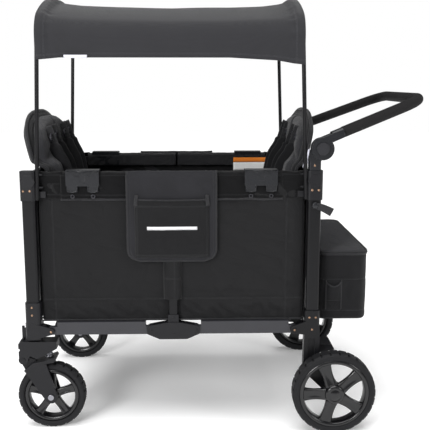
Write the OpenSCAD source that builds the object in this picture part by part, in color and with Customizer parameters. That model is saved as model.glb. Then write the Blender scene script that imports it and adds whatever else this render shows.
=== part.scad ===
/* [Body] */
// Distance from the front posts to the rear posts
post_span = 767; // [700:5:860]
// Distance between the left and right posts
post_gauge = 566; // [520:2:640]
// Height of the fabric rim above the ground
rim_z = 723; // [680:1:790]
// Width of a post along the wagon
post_w = 36; // [30:1:42]
// Depth of a post across the wagon
post_d = 28; // [24:1:32]
// Wall of a post
post_wall = 2; // [1.5:0.1:3]

/* [Folding linkage] */
// Height of the lower pivots
lower_pivot_z = 284; // [262:1:310]
// Height of the lower side rails
rail_h = 34; // [26:1:38]
// Thickness of the lower side rails
rail_t = 16; // [12:1:18]
// Half the distance between the two pivots of a hinge plate
plate_pivot = 62; // [50:1:72]
// Distance from a post's centre to its link pivots
pivot_reach = 48.5; // [44:0.5:56]
// Radius of the linkage pins
pin_r = 5; // [4:0.5:6]
// Thickness of the floor boards
board_t = 6; // [4:1:9]

/* [Canopy] */
// Height of the canopy above the ground, at its arches
canopy_top = 1194; // [1080:2:1300]
// Height of the near side hem
canopy_hem = 1017; // [960:1:1060]
// How much higher the far side hem is
hem_rise = 30; // [0:1:60]
// Radius of a canopy pole
pole_r = 5.5; // [4.5:0.5:6.5]
// Inward lean of the poles
pole_lean = 2.1; // [0:0.1:2.5]
// Radius of the corners of an arch
arch_corner = 60; // [40:1:90]
// Radius of the crown of an arch
arch_crown = 620; // [480:10:900]

/* [Handle] */
// Height of the handle hubs
hub_z = 785; // [765:1:830]
// Radius of a hub disc
hub_r = 30; // [26:1:34]
// Tilt of the handle above level
handle_tilt = 21; // [10:1:35]
// Distance from the hubs to the cross bar
handle_reach = 311; // [260:1:350]
// Distance of the handle tube above the hub centre
handle_rise = 19; // [16:1:21]
// Radius of the handle tube
handle_tube_r = 11; // [9:0.5:12]
// Radius of the foam grip
grip_r = 15; // [13:0.5:17]

/* [Wheels] */
// Radius of a front wheel
front_wheel_r = 93.5; // [84:0.5:97]
// Width of a front tyre
front_tyre_w = 38; // [32:1:40]
// Radius of a rear wheel
rear_wheel_r = 114.5; // [100:0.5:124]
// Width of a rear tyre
rear_tyre_w = 44; // [36:1:48]
// Depth of a tyre from tread to rim
tyre_depth = 17; // [13:1:19]
// Distance between the front wheels' middles
front_track = 545; // [530:1:560]
// Distance between the rear wheels' middles
rear_track = 655; // [652:1:690]
// Radius of the wheel axles
axle_r = 6; // [5:0.5:7]

/* [Basket] */
// Length of the basket along the wagon
basket_len = 142; // [110:1:160]
// Width of the basket
basket_w = 490; // [400:2:520]
// Height of the basket's lid above the ground
basket_top = 494; // [470:1:520]
// Depth of the basket
basket_depth = 196; // [150:1:196]

/* [Seats] */
// Width of a seat back
seat_w = 460; // [400:2:490]
// Height of a seat back's top above the ground
seat_top = 889; // [840:1:930]
// Thickness of a seat back
seat_t = 36; // [26:1:38]
// Backward lean of a seat back
seat_lean = 13; // [8:1:14]

/* [Hidden] */
$fn = 48;
hull_fn = 32;

// Clearances
soft_gap = 0.3;
run_gap = 0.05;
side_gap = 0.3;
fabric_t = 3;
tiny = 0.01;

// Posts and brackets, measured from the middle of the body
post_x = post_span / 2;
post_y = post_gauge / 2;
post_out = post_y + post_d / 2;
post_in = post_y - post_d / 2;
bracket_wall = 3.5;
bracket_h = 79;
bracket_top = rim_z + 3;
bracket_low = bracket_top - bracket_h;
clip_len = 89;
clip_inset = 99.5;
bracket_out = post_out + bracket_wall;
foot_top = lower_pivot_z + 81;
foot_low = lower_pivot_z - 27;
leg_top = lower_pivot_z + 54;
corner_r = 7;

// Layers across the wagon, from the middle outwards
upper_t = 12;
upper_in = post_out - 35;
upper_out = upper_in + upper_t;
ear_in = upper_out + side_gap;
ear_out = ear_in + 5;
flap_in = ear_out + 1.5;
flap_out = flap_in + fabric_t;
pole_y = post_out - 3;
wall_out = ear_out - 0.5;
wall_in = wall_out - fabric_t;
rim_in = upper_in - fabric_t - 3;
centre_in = ear_out + 0.5;
centre_t = 12;
centre_w = 21;
lower_out = post_out - 4;
lower_in = lower_out - rail_t;
plate_t = 4;

// Linkage
link_x = post_x - pivot_reach;
upper_z = rim_z - 23;
upper_h = 20;
rail_top = lower_pivot_z + rail_h / 2 + 7;
rail_low = rail_top - rail_h;
board_z = rail_top;
board_end = link_x - 35;
board_gap = 8;
floor_z = board_z + board_t;
centre_low = rail_top - 5;
centre_top = upper_z + upper_h / 2 + 2;

// Tub
tub_x = post_x - post_w / 2 - bracket_wall - 1;
tub_low = floor_z + 2;
flap_low = rim_z - 77;
rim_x = link_x + 3;
ledge_z = upper_z - 24;

// Canopy
pole_low = bracket_low + 2;
pole_x = post_x - 23.5;
crown_c = canopy_top - pole_r - arch_crown;
corner_c = crown_c + sqrt(pow(arch_crown - arch_corner, 2) - pow(pole_y - arch_corner, 2));
crown_a = asin((pole_y - arch_corner) / (arch_crown - arch_corner));
cover_t = 2.5;
cover_x = pole_x - (canopy_hem - pole_low) * tan(pole_lean) + 3;

// Handle
hub_x = post_x + 17.5;
hub_y = post_y + 1;
arm_in = 44;
arm_start = 20;
tube_start = 18;
socket_r = handle_tube_r + 3;
grip_start = 70;
bend_r = 75;
hub_t = 24;
disc_t = 12;
hub_bore = 9;
button_r = 17;
button_out = 3;

// Casters and rear wheels
caster_x = -post_x - 1.5;
caster_y = front_track / 2;
head_top = foot_low - 4;
head_h = 50;
head_back = 40;
head_front = 62;
head_w = 44;
stem_r = 8;
stem_h = 42;
sleeve_r = 12;
fork_px = caster_x - 31;
fork_pz = head_top - 52;
axle_x = caster_x + 42.5;
blade_t = 6;
blade_gap = 3;
blade_in = front_tyre_w / 2 + blade_gap;
blade_out = blade_in + blade_t;
fork_end_r = 18;
spring_x = caster_x + 36;
spring_low = fork_pz + 1.5;
spring_top = fork_pz + 23;
spring_r = 11;
hub_half = front_tyre_w / 2 - 2;
rear_x = post_x + 58.5;
rear_y = rear_track / 2;
rear_hub_half = rear_tyre_w / 2 - 3;
front_rim_r = front_wheel_r - tyre_depth;
rear_rim_r = rear_wheel_r - tyre_depth - 3;

// Basket, seats and small parts
basket_x = post_x + post_w / 2 + 2;
basket_end = basket_x + basket_len;
lid_t = 8;
basket_low = basket_top - basket_depth;
basket_bar_z = basket_top - 24;
seat_px = post_x - 87.5;
seat_pz = 560;
seat_h = (seat_top - seat_pz) / cos(seat_lean);
seat_corner = 70;
base_t = 40;
base_len = 190;
strap_t = 6;
pedal_x = post_x + 16;
pedal_z = 222;
pedal_r = 6;
hook_z = bracket_low - 14;
hook_out = post_out + 4.5;
hook_pin_r = 3;
rivet_r = 3;

// Shift that puts the origin under the middle of the whole object
front_most = caster_x + 42.5 - front_wheel_r;
rear_most = hub_x + handle_reach * cos(handle_tilt) - handle_rise * sin(handle_tilt) + grip_r;
mid_x = -(front_most + rear_most) / 2;

module placed() {
    translate([mid_x, 0, 0]) children();
}

module both_sides() {
    children();
    mirror([0, 1, 0]) children();
}

module cyl_y(x, y0, y1, z, r) {
    translate([x, y1, z]) rotate([90, 0, 0]) cylinder(h = y1 - y0, r = r);
}

module cyl_z(x, y, z0, z1, r) {
    translate([x, y, z0]) cylinder(h = z1 - z0, r = r);
}

module block(x0, x1, y0, y1, z0, z1) {
    translate([x0, y0, z0]) cube([x1 - x0, y1 - y0, z1 - z0]);
}

// Outline drawn in X and Z, and given a thickness along Y
module plate(points, y0, y1) {
    translate([0, y1, 0]) rotate([90, 0, 0]) linear_extrude(y1 - y0) polygon(points);
}

module round_rect(w, d, r) {
    square([w - 2 * r, d], center = true);
    square([w, d - 2 * r], center = true);
    for (sx = [-1, 1], sy = [-1, 1])
        translate([sx * (w / 2 - r), sy * (d / 2 - r)]) circle(r);
}

// Upright bar with rounded corners
module bar_z(x, y, z0, z1, w, d, r) {
    translate([x, y, z0]) linear_extrude(z1 - z0) round_rect(w, d, r);
}

// Link with round ends about two pivots, in the plane of X and Z
module link(x0, x1, z, h, y0, y1) {
    block(x0, x1, y0, y1, z - h / 2, z + h / 2);
    cyl_y(x0, y0, y1, z, h / 2);
    cyl_y(x1, y0, y1, z, h / 2);
}

module rivet_head(x, y, z) {
    translate([x, y, z]) rotate([90, 0, 0]) intersection() {
        cylinder(h = 2, r = rivet_r);
        translate([0, 0, -rivet_r - 0.4]) sphere(rivet_r + 2);
    }
}

// ---- posts and brackets of one end; side is -1 at the front, 1 at the rear

module post(side, z0) {
    difference() {
        bar_z(side * post_x, -post_y, z0, bracket_top - 4, post_w, post_d, corner_r);
        bar_z(side * post_x, -post_y, z0 - 1, bracket_top - 3, post_w - 2 * post_wall,
            post_d - 2 * post_wall, corner_r - post_wall);
    }
}

module top_bracket(side) {
    sleeve_w = post_w + 2 * bracket_wall;
    sleeve_d = post_d + 2 * bracket_wall;
    difference() {
        union() {
            bar_z(side * post_x, -post_y, bracket_low, bracket_top, sleeve_w, sleeve_d,
                corner_r + bracket_wall);
            // ear that carries the upper rail's pivot
            block(side > 0 ? link_x : -post_x, side > 0 ? post_x : -link_x, -ear_out, -ear_in,
                upper_z - 9, upper_z + 9);
            cyl_y(side * link_x, -ear_out, -ear_in, upper_z, 9);
            cyl_y(side * link_x, -ear_in - tiny, -upper_in + 2, upper_z, pin_r);
            // tab that holds the strap
            block(side > 0 ? pole_x - 22 : -post_x, side > 0 ? post_x : -pole_x + 22,
                -pole_y + pole_r + 0.4, -flap_out - 0.2, bracket_low + 7, bracket_low + 24);
            pole_clip(side);
        }
        bar_z(side * post_x, -post_y, bracket_low - 1, bracket_top - 4, post_w, post_d, corner_r);
        if (side > 0) {
            bar_z(post_x, -post_y, bracket_top - 5, bracket_top + 1, post_w - 2 * post_wall,
                post_d - 2 * post_wall, corner_r - post_wall);
        }
        pole_axis(side, pole_r + 0.1);
    }
    hexagon_boss(side);
}

// Two arms that grip a canopy pole from inside
module pole_clip(side) {
    for (z = [bracket_top - 9, bracket_top - 43])
        plate([[side * (post_x - 15), z - 3], [side * (pole_x - 16), z - 1.5],
            [side * (pole_x - 16), z + 1.5], [side * (post_x - 15), z + 3]],
            -pole_y - 1, -flap_out - 0.2);
}

module hexagon_boss(side) {
    translate([side * (post_x - 2), -bracket_out + tiny, bracket_top - 27]) rotate([90, 0, 0])
        cylinder(h = 1.5, r = 19, $fn = 6);
}

module pole_axis(side, r) {
    translate([side * pole_x, -pole_y, pole_low]) rotate([0, -side * pole_lean, 0])
        cylinder(h = 120, r = r);
}

module front_posts() {
    color("#2e2e31") placed() both_sides() post(-1, foot_low + 50);
}

module rear_posts() {
    color("#2e2e31") placed() both_sides() post(1, leg_top - 40);
}

module front_top_brackets() {
    color("#3a3a3d") placed() both_sides() top_bracket(-1);
}

module rear_top_brackets() {
    color("#3a3a3d") placed() both_sides() top_bracket(1);
}

// Sleeve at the foot of a front post, with the ears of the lower link and the swivel's bore
module front_foot_brackets() {
    sleeve_w = post_w + 2 * bracket_wall;
    sleeve_d = post_d + 2 * bracket_wall;
    color("#3a3a3d") placed() both_sides() {
        difference() {
            union() {
                bar_z(-post_x, -post_y, foot_low + 14, foot_top, sleeve_w, sleeve_d,
                    corner_r + bracket_wall);
                bar_z(caster_x, -caster_y, foot_low, foot_low + 48, 46, 40, 10);
                cyl_z(caster_x, -caster_y, head_top + side_gap, foot_low + 1, sleeve_r);
                lock_guide();
                for (y = [[-bracket_out - 1, -lower_out - side_gap],
                    [-lower_in + side_gap, -lower_in + side_gap + plate_t]])
                    foot_ear(y[0], y[1]);
                block(-post_x, -link_x - 17, -lower_out - 1, -lower_in + 1,
                    lower_pivot_z - 15, lower_pivot_z + 16);
            }
            bar_z(-post_x, -post_y, foot_low + 50, foot_top + 1, post_w, post_d, corner_r);
            cyl_z(caster_x, -caster_y, head_top - 1, head_top + stem_h + 6, stem_r + run_gap);
        }
        link_pin(-link_x);
    }
}

module foot_ear(y0, y1) {
    difference() {
        union() {
            plate([[-post_x - 17, lower_pivot_z + 8], [-post_x - 17, lower_pivot_z - 9],
                [-post_x - 2, lower_pivot_z - 24], [-link_x, lower_pivot_z - 9],
                [-link_x, lower_pivot_z + 9], [-post_x - 2, lower_pivot_z + 24]], y0, y1);
            cyl_y(-link_x, y0, y1, lower_pivot_z, 9);
        }
        cyl_y(-link_x, y0 - 1, y1 + 1, lower_pivot_z, pin_r);
    }
}

// Pin of a lower link, held by its ears
module link_pin(x) {
    cyl_y(x, -bracket_out - 2.5, -lower_in + side_gap + plate_t + 1, lower_pivot_z, pin_r);
}

// Guide that the swivel lock rises against
module lock_guide() {
    x = caster_x - 32;
    cyl_z(x, -caster_y, head_top + side_gap, foot_low + 36, 4);
    block(x, x + 12, -caster_y - 4, -caster_y + 4, foot_low + 4, foot_low + 30);
}

// Leg at the foot of a rear post, down to the axle
module rear_legs() {
    sleeve_d = post_d + 2 * bracket_wall;
    color("#3a3a3d") placed() both_sides() {
        difference() {
            union() {
                bar_z(post_x, -post_y, lower_pivot_z - 30, leg_top, post_w + 7, sleeve_d,
                    corner_r + 3);
                plate([[post_x - 21, lower_pivot_z + 10], [post_x + 21, lower_pivot_z + 10],
                    [post_x + 25, rear_wheel_r + 50], [rear_x + 14, rear_wheel_r + 14],
                    [rear_x, rear_wheel_r - 20], [rear_x - 20, rear_wheel_r - 10],
                    [post_x - 23, rear_wheel_r + 50]], -bracket_out, -bracket_out + 26);
                cyl_y(rear_x, -bracket_out, -bracket_out + 26, rear_wheel_r, 20);
                rear_ear(-bracket_out, -lower_out - side_gap);
                rear_ear(-lower_in + side_gap, -lower_in + side_gap + plate_t);
            }
            bar_z(post_x, -post_y, leg_top - 40, leg_top + 1, post_w, post_d, corner_r);
            cyl_y(rear_x, -bracket_out - 1, -bracket_out + 27, rear_wheel_r, axle_r);
            cyl_y(pedal_x, -post_y, -bracket_out + 27, pedal_z, pedal_r + run_gap);
            // slot in the leg's outer face
            block(post_x - 10, post_x + 8, -bracket_out - 1, -bracket_out + 4,
                lower_pivot_z - 90, lower_pivot_z - 26);
        }
        link_pin(link_x);
    }
}

module rear_ear(y0, y1) {
    difference() {
        union() {
            plate([[post_x - 15, lower_pivot_z + 24], [post_x - 15, lower_pivot_z - 14],
                [link_x, lower_pivot_z - 12], [link_x, lower_pivot_z + 12]], y0, y1);
            cyl_y(link_x, y0, y1, lower_pivot_z, 12);
        }
        cyl_y(link_x, y0 - 1, y1 + 1, lower_pivot_z, pin_r);
    }
}

// Tube across the wagon between two posts
module crossbar(x, z, w, h) {
    difference() {
        translate([x, 0, z]) rotate([90, 0, 0]) linear_extrude(2 * post_in, center = true)
            round_rect(w, h, 4);
        translate([x, 0, z]) rotate([90, 0, 0]) linear_extrude(2 * post_in - 1, center = true)
            round_rect(w - 4, h - 4, 2);
    }
}

module front_crossbars() {
    color("#2a2a2c") placed() {
        crossbar(-post_x, upper_z - 70, 16, 26);
        crossbar(-post_x, foot_top + 22, 16, 26);
    }
}

module rear_crossbars() {
    color("#2a2a2c") placed() {
        crossbar(post_x, upper_z - 70, 16, 26);
        crossbar(post_x, basket_bar_z, 16, 26);
    }
}

module front_fasteners() {
    color("#c9a58a") placed() both_sides() {
        for (dx = [-11.5, 6]) rivet_head(-post_x + dx, -bracket_out, bracket_low + 27);
        for (z = [foot_top - 12, foot_top - 34]) rivet_head(-post_x - 2, -bracket_out, z);
        rivet_head(-link_x, -bracket_out - 2.5, lower_pivot_z);
    }
}

module rear_fasteners() {
    color("#c9a58a") placed() {
        cyl_y(post_x, -hook_out - side_gap, -post_out, hook_z, hook_pin_r);
        cyl_y(post_x, -hook_out - side_gap - 2.5, -hook_out - side_gap, hook_z, 6);
    }
    color("#c9a58a") placed() both_sides() {
        for (dx = [-8, 9.5]) rivet_head(post_x + dx, -bracket_out, bracket_low + 27);
        for (dx = [-8, 9.5]) rivet_head(post_x + dx, -bracket_out, leg_top - 19);
        rivet_head(post_x, -bracket_out, lower_pivot_z);
        rivet_head(link_x, -bracket_out - 2.5, lower_pivot_z);
        rivet_head(post_x - 2, -post_out, bracket_top + 14);
    }
}

// ---- canopy

// Two leaning poles, a round corner over each and a shallow crown between them
module arch(side) {
    top_z = corner_c - pole_low;
    mirror([side > 0 ? 1 : 0, 0, 0]) translate([-pole_x, 0, pole_low]) rotate([0, pole_lean, 0]) {
        both_sides() {
            translate([0, -pole_y, 0]) cylinder(h = top_z, r = pole_r);
            translate([0, -pole_y + arch_corner, top_z]) rotate([90, 0, -90])
                rotate_extrude(angle = 90 - crown_a) translate([arch_corner, 0]) circle(pole_r);
        }
        translate([0, 0, crown_c - pole_low]) rotate([90, 0, -90]) rotate([0, 0, 90 - crown_a])
            rotate_extrude(angle = 2 * crown_a, $fn = 192) translate([arch_crown, 0])
                circle(pole_r, $fn = 48);
    }
}

module canopy_front_arch() {
    color("#38383a") placed() arch(-1);
}

module canopy_rear_arch() {
    color("#38383a") placed() arch(1);
}

// Outline of the cover across the wagon, at a distance d outside an arch's middle line
module cover_outline(d) {
    wide = pole_y + d;
    fan = 2 * arch_crown;
    intersection() {
        translate([0, crown_c]) circle(arch_crown + d, $fn = 240);
        polygon([[0, crown_c], [fan * sin(crown_a), crown_c + fan * cos(crown_a)],
            [-fan * sin(crown_a), crown_c + fan * cos(crown_a)]]);
    }
    for (s = [-1, 1]) translate([s * (pole_y - arch_corner), corner_c])
        circle(arch_corner + d, $fn = 96);
    translate([-wide, canopy_hem - 100]) square([2 * wide, corner_c - canopy_hem + 100]);
}

module canopy_cover() {
    inner = pole_r + soft_gap;
    color("#4c4c4e") placed() translate([-cover_x, 0, 0]) rotate([90, 0, 90])
        linear_extrude(2 * cover_x) difference() {
            cover_outline(inner + cover_t);
            cover_outline(inner);
            translate([-400, canopy_hem - 200]) square([400, 200]);
            translate([0, canopy_hem - 200]) square([400, 200 + hem_rise]);
        }
}

// ---- fabric tub

// One side wall with the rim that wraps over the upper rails
module tub_side() {
    block(-tub_x, tub_x, -wall_out, -wall_in, tub_low, ledge_z);
    block(-rim_x, rim_x, -wall_out, -rim_in, ledge_z - fabric_t, ledge_z);
    block(-rim_x, rim_x, -rim_in - fabric_t, -rim_in, ledge_z - fabric_t, rim_z);
    block(-rim_x, rim_x, -flap_out, -rim_in, rim_z - fabric_t, rim_z);
    for (s = [-1, 1])
        block(s > 0 ? 16 : -rim_x, s > 0 ? rim_x : -16, -flap_out, -flap_in, flap_low, rim_z);
}

module tub_sides() {
    color("#1f1f22") placed() both_sides() tub_side();
}

// End panel between the posts, wider where the post is bare
module tub_end(side) {
    narrow = post_in - bracket_wall - 1;
    wide = wall_out;
    x0 = tub_x + soft_gap;
    x1 = post_x - post_w / 2 - soft_gap;
    bare_low = (side > 0 ? leg_top : foot_top) + 1;
    mirror([side > 0 ? 0 : 1, 0, 0]) {
        block(x0, x1, -narrow, narrow, tub_low, rim_z);
        block(x0, x1, -wide, wide, bare_low, bracket_low - 1);
        block(x0 - 4, x1, -narrow, narrow, rim_z - 5, rim_z + 1);
    }
}

module tub_front_end() {
    color("#1f1f22") placed() tub_end(-1);
}

module tub_rear_end() {
    color("#1f1f22") placed() tub_end(1);
}

// ---- seats

// Seat back with its four shoulder straps, leaning out over the end of the tub
module seat_back(side) {
    translate([side * seat_px, 0, seat_pz]) rotate([0, side * seat_lean, 0]) {
        cyl_y(0, -seat_w / 2, seat_w / 2, 0, seat_t / 2);
        block(-seat_t / 2, seat_t / 2, -seat_w / 2, seat_w / 2, 0, seat_h - seat_corner);
        translate([-seat_t / 2, 0, seat_h - seat_corner]) rotate([90, 0, 90])
            linear_extrude(seat_t) {
                for (s = [-1, 1]) translate([s * (seat_w / 2 - seat_corner), 0])
                    circle(seat_corner);
                translate([-seat_w / 2 + seat_corner, 0])
                    square([seat_w - 2 * seat_corner, seat_corner]);
            }
        for (y = [-150, -70, 70, 150])
            block(side > 0 ? -seat_t / 2 - strap_t : seat_t / 2,
                side > 0 ? -seat_t / 2 : seat_t / 2 + strap_t, y - 19, y + 19, 20, seat_h - 90);
    }
}

module front_seat_back() {
    color("#242427") placed() seat_back(-1);
}

module rear_seat_back() {
    color("#242427") placed() seat_back(1);
}

module seat_base(side) {
    top = seat_pz - seat_t / 2 - soft_gap;
    x0 = seat_px + 12;
    block(side > 0 ? x0 - base_len : -x0, side > 0 ? x0 : -x0 + base_len,
        -wall_in + soft_gap, wall_in - soft_gap, top - base_t, top);
}

module front_seat_base() {
    color("#242427") placed() seat_base(-1);
}

module rear_seat_base() {
    color("#242427") placed() seat_base(1);
}

// ---- basket

module basket_body() {
    color("#1c1c20") placed() difference() {
        union() {
            block(basket_x, basket_end, -basket_w / 2, basket_w / 2, basket_low,
                basket_top - lid_t - soft_gap);
            // webbing tabs to the cross bar
            for (y = [-150, 150])
                block(post_x + 8 + side_gap, basket_x + 1, y - 15, y + 15,
                    basket_bar_z - 13, basket_bar_z + 13);
        }
        block(basket_x + fabric_t, basket_end - fabric_t, -basket_w / 2 + fabric_t,
            basket_w / 2 - fabric_t, basket_low + fabric_t, basket_top);
    }
}

module basket_lid() {
    color("#26262a") placed()
        block(basket_x, basket_end + 1, -basket_w / 2 - 1, basket_w / 2 + 1,
            basket_top - lid_t, basket_top);
}

// ---- handle

// Plug in the rear post's top with the round plate that the handle turns on
module handle_mounts() {
    color("#3a3a3d") placed() both_sides() difference() {
        union() {
            bar_z(post_x, -post_y, bracket_top - 45, bracket_top,
                post_w - 2 * post_wall - side_gap, post_d - 2 * post_wall - side_gap,
                corner_r - post_wall);
            bar_z(post_x - 1, -post_y, bracket_top, bracket_top + 28, post_w - 3, post_d, 6);
            plate([[post_x - 18, bracket_top + 26], [post_x + 15.5, bracket_top + 26],
                [hub_x, hub_z], [hub_x - hub_r, hub_z]], -post_y - 14, -post_y + 10);
            cyl_y(hub_x, -post_y - 14, -post_y + 10, hub_z, hub_r);
        }
        cyl_y(hub_x, -post_y - 15, -post_y + 11, hub_z, hub_bore + run_gap);
        // recess that the handle's inner disc turns in
        cyl_y(hub_x, -post_y - 3, -post_y + 11, hub_z, hub_r + 1);
    }
}

module in_handle() {
    translate([hub_x, 0, hub_z]) rotate([0, -handle_tilt, 0]) children();
}

// Middle line of the handle: straight arms that lean in, round corners and a cross bar
arm_x = handle_reach - bend_r;
arm_turn = atan2(arm_in, arm_x);
arm_len = (handle_reach - bend_r * (1 - sin(arm_turn)) - arm_start) / cos(arm_turn);
bend_x = arm_start + arm_len * cos(arm_turn);
bend_y = hub_y - arm_len * sin(arm_turn);
bend_cx = bend_x - bend_r * sin(arm_turn);
bend_cy = bend_y - bend_r * cos(arm_turn);

module handle_path(from, r) {
    both_sides() {
        translate([arm_start, -hub_y, handle_rise]) rotate([0, 90, arm_turn])
            translate([0, 0, from]) cylinder(h = arm_len - from, r = r);
        translate([bend_cx, -bend_cy, handle_rise]) rotate([0, 0, -90 + arm_turn])
            rotate_extrude(angle = 90 - arm_turn, $fn = 72) translate([bend_r, 0])
                circle(r, $fn = 48);
        translate([bend_cx + bend_r, -bend_cy, handle_rise]) rotate([-90, 0, 0])
            cylinder(h = bend_cy, r = r);
    }
}

module handle_tube() {
    color("#2a2a2c") placed() in_handle() handle_path(tube_start, handle_tube_r);
}

module handle_grip() {
    color("#2b292a") placed() in_handle() difference() {
        handle_path(grip_start - 20, grip_r);
        handle_path(grip_start - 30, handle_tube_r);
    }
}

// Sockets that carry the tube's ends and turn on the hubs
module handle_sockets() {
    color("#3a3a3d") placed() both_sides() {
        difference() {
            union() {
                // disc on the hub's outer face
                cyl_y(hub_x, -post_y - 14 - disc_t - side_gap, -post_y - 14 - side_gap, hub_z,
                    hub_r);
                // inner disc in the mount's recess, and the hub pin between the two
                cyl_y(hub_x, -post_y - 3 + side_gap, -post_y + 10, hub_z, hub_r - 1);
                cyl_y(hub_x, -post_y - 20, -post_y + 8, hub_z, hub_bore);
                in_handle() {
                    socket_arm(-post_y - 14 - disc_t - side_gap, -post_y - 14 - side_gap);
                    socket_arm(-post_y - 3 + side_gap, -post_y + 10);
                    translate([arm_start, -hub_y, handle_rise]) rotate([0, 90, arm_turn])
                        translate([0, 0, tube_start]) cylinder(h = 32, r = socket_r);
                }
            }
            in_handle() translate([arm_start, -hub_y, handle_rise]) rotate([0, 90, arm_turn])
                translate([0, 0, tube_start]) cylinder(h = 80, r = handle_tube_r);
            // pocket of the hub's button
            cyl_y(hub_x, -post_y - 14 - disc_t - side_gap - 1, -post_y - 14 - 4, hub_z,
                button_r + run_gap);
        }
    }
}

module socket_arm(y0, y1) {
    plate([[0, hub_r - 2], [-2, 6], [46, 8], [66, handle_rise - 10], [66, handle_rise + 10],
        [40, hub_r - 1]], y0, y1);
}

module handle_button(side) {
    y = post_y + 14 + disc_t + side_gap;
    color("#2f2f33") placed() mirror([0, side > 0 ? 1 : 0, 0]) {
        cyl_y(hub_x, -y - button_out, -y + 4, hub_z, button_r);
        translate([hub_x, -y - button_out + tiny, hub_z]) rotate([90, 22.5, 0])
            cylinder(h = 1.5, r = button_r - 1, $fn = 8);
    }
}

module handle_button_left() {
    handle_button(-1);
}

module handle_button_right() {
    handle_button(1);
}

// ---- front casters, drawn for the left one and mirrored for the right

module sided(side) {
    placed() mirror([0, side > 0 ? 1 : 0, 0]) children();
}

module caster_head(side) {
    half = head_w / 2;
    cheek = 7;
    color("#3a3a3d") sided(side) difference() {
        union() {
            plate([[caster_x - head_back, head_top], [caster_x + head_front, head_top],
                [caster_x + head_front, head_top - 20], [caster_x + 7, head_top - head_h],
                [fork_px - 2, head_top - 32], [caster_x - head_back, head_top - 30]],
                -caster_y - half, -caster_y + half);
            for (y = [-caster_y - half, -caster_y + half - cheek]) {
                plate([[fork_px - 12, head_top - 28], [fork_px + 26, head_top - 28],
                    [fork_px + 8, fork_pz - 8], [fork_px - 12, fork_pz]], y, y + cheek);
                cyl_y(fork_px, y, y + cheek, fork_pz, 13);
            }
            cyl_z(caster_x, -caster_y, head_top - 10, head_top + stem_h, stem_r);
        }
        // room for the fork's nose between the cheeks
        block(fork_px - 20, fork_px + 44, -caster_y - half + cheek, -caster_y + half - cheek,
            fork_pz - 40, fork_pz + 16);
        // pocket of the spring
        cyl_z(spring_x, -caster_y, fork_pz - 40, spring_top, spring_r + 1.5);
        cyl_y(fork_px, -caster_y - half - 1, -caster_y + half + 1, fork_pz, pin_r + run_gap);
        // slot of the swivel lock
        block(caster_x - head_back - 1, caster_x - head_back + 8, -caster_y - 4.2,
            -caster_y + 4.2, head_top - 26, head_top - 3);
    }
}

module caster_fork(side) {
    nose = 14.5;
    hinge_r = 11;
    color("#38383a") sided(side) difference() {
        union() {
            cyl_y(fork_px, -caster_y - nose, -caster_y + nose, fork_pz, hinge_r);
            plate([[fork_px - 2, fork_pz + 10], [fork_px + 30, fork_pz - 1],
                [fork_px + 38, fork_pz - 16], [fork_px + 2, fork_pz - 30],
                [fork_px - 10, fork_pz - 5]], -caster_y - nose, -caster_y + nose);
            // crown over the wheel
            plate([[fork_px + 2, fork_pz - 29], [fork_px + 26, fork_pz - 8],
                [fork_px + 60, fork_pz - 2], [fork_px + 86, fork_pz + 7],
                [fork_px + 90, fork_pz + 1], [fork_px + 84, fork_pz - 6.5],
                [fork_px + 50, fork_pz - 11.5]], -caster_y - blade_out, -caster_y + blade_out);
            for (y = [-caster_y - blade_out, -caster_y + blade_in]) {
                plate([[fork_px + 2, fork_pz - 29], [fork_px + 50, fork_pz - 10],
                    [fork_px + 64, fork_pz - 11], [axle_x + fork_end_r - 1, front_wheel_r + 6],
                    [axle_x - fork_end_r + 2, front_wheel_r - 8]], y, y + blade_t);
                cyl_y(axle_x, y, y + blade_t, front_wheel_r, fork_end_r);
            }
            // pivot pin of the fork
            cyl_y(fork_px, -caster_y - head_w / 2 - 2, -caster_y + head_w / 2 + 2, fork_pz, pin_r);
        }
        cyl_y(axle_x, -caster_y - blade_out - 1, -caster_y + blade_out + 1, front_wheel_r, axle_r);
        // seat of the spring
        cyl_z(spring_x, -caster_y, spring_low - side_gap, fork_pz + 20, spring_r + 1.5);
        // arch over the tyre
        cyl_y(axle_x, -caster_y - blade_in, -caster_y + blade_in, front_wheel_r,
            front_wheel_r + 4);
    }
}

module caster_spring(side) {
    coils = 3;
    pitch = (spring_top - spring_low) / coils;
    wire = pitch / 2;
    color("#c9a58a") sided(side) translate([spring_x, -caster_y, spring_low]) difference() {
        union() {
            for (i = [0:coils - 1]) translate([0, 0, (i + 0.5) * pitch])
                rotate_extrude() translate([spring_r - wire, 0]) circle(wire, $fn = 24);
            cylinder(h = coils * pitch, r = spring_r - wire);
        }
        translate([0, 0, -1]) cylinder(h = coils * pitch + 2, r = spring_r - wire - 2);
    }
}

module front_axle(side) {
    color("#c9a58a") sided(side) {
        cyl_y(axle_x, -caster_y - blade_out - 1, -caster_y + blade_out + 1, front_wheel_r, axle_r);
        for (s = [-1, 1])
            cyl_y(axle_x, -caster_y + (s > 0 ? blade_out : -blade_out - 3.5),
                -caster_y + (s > 0 ? blade_out + 3.5 : -blade_out), front_wheel_r, 8);
        // spacers beside the hub
        for (s = [-1, 1])
            cyl_y(axle_x, -caster_y + (s > 0 ? hub_half + side_gap : -blade_in),
                -caster_y + (s > 0 ? blade_in : -hub_half - side_gap), front_wheel_r, 9);
    }
}

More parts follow.
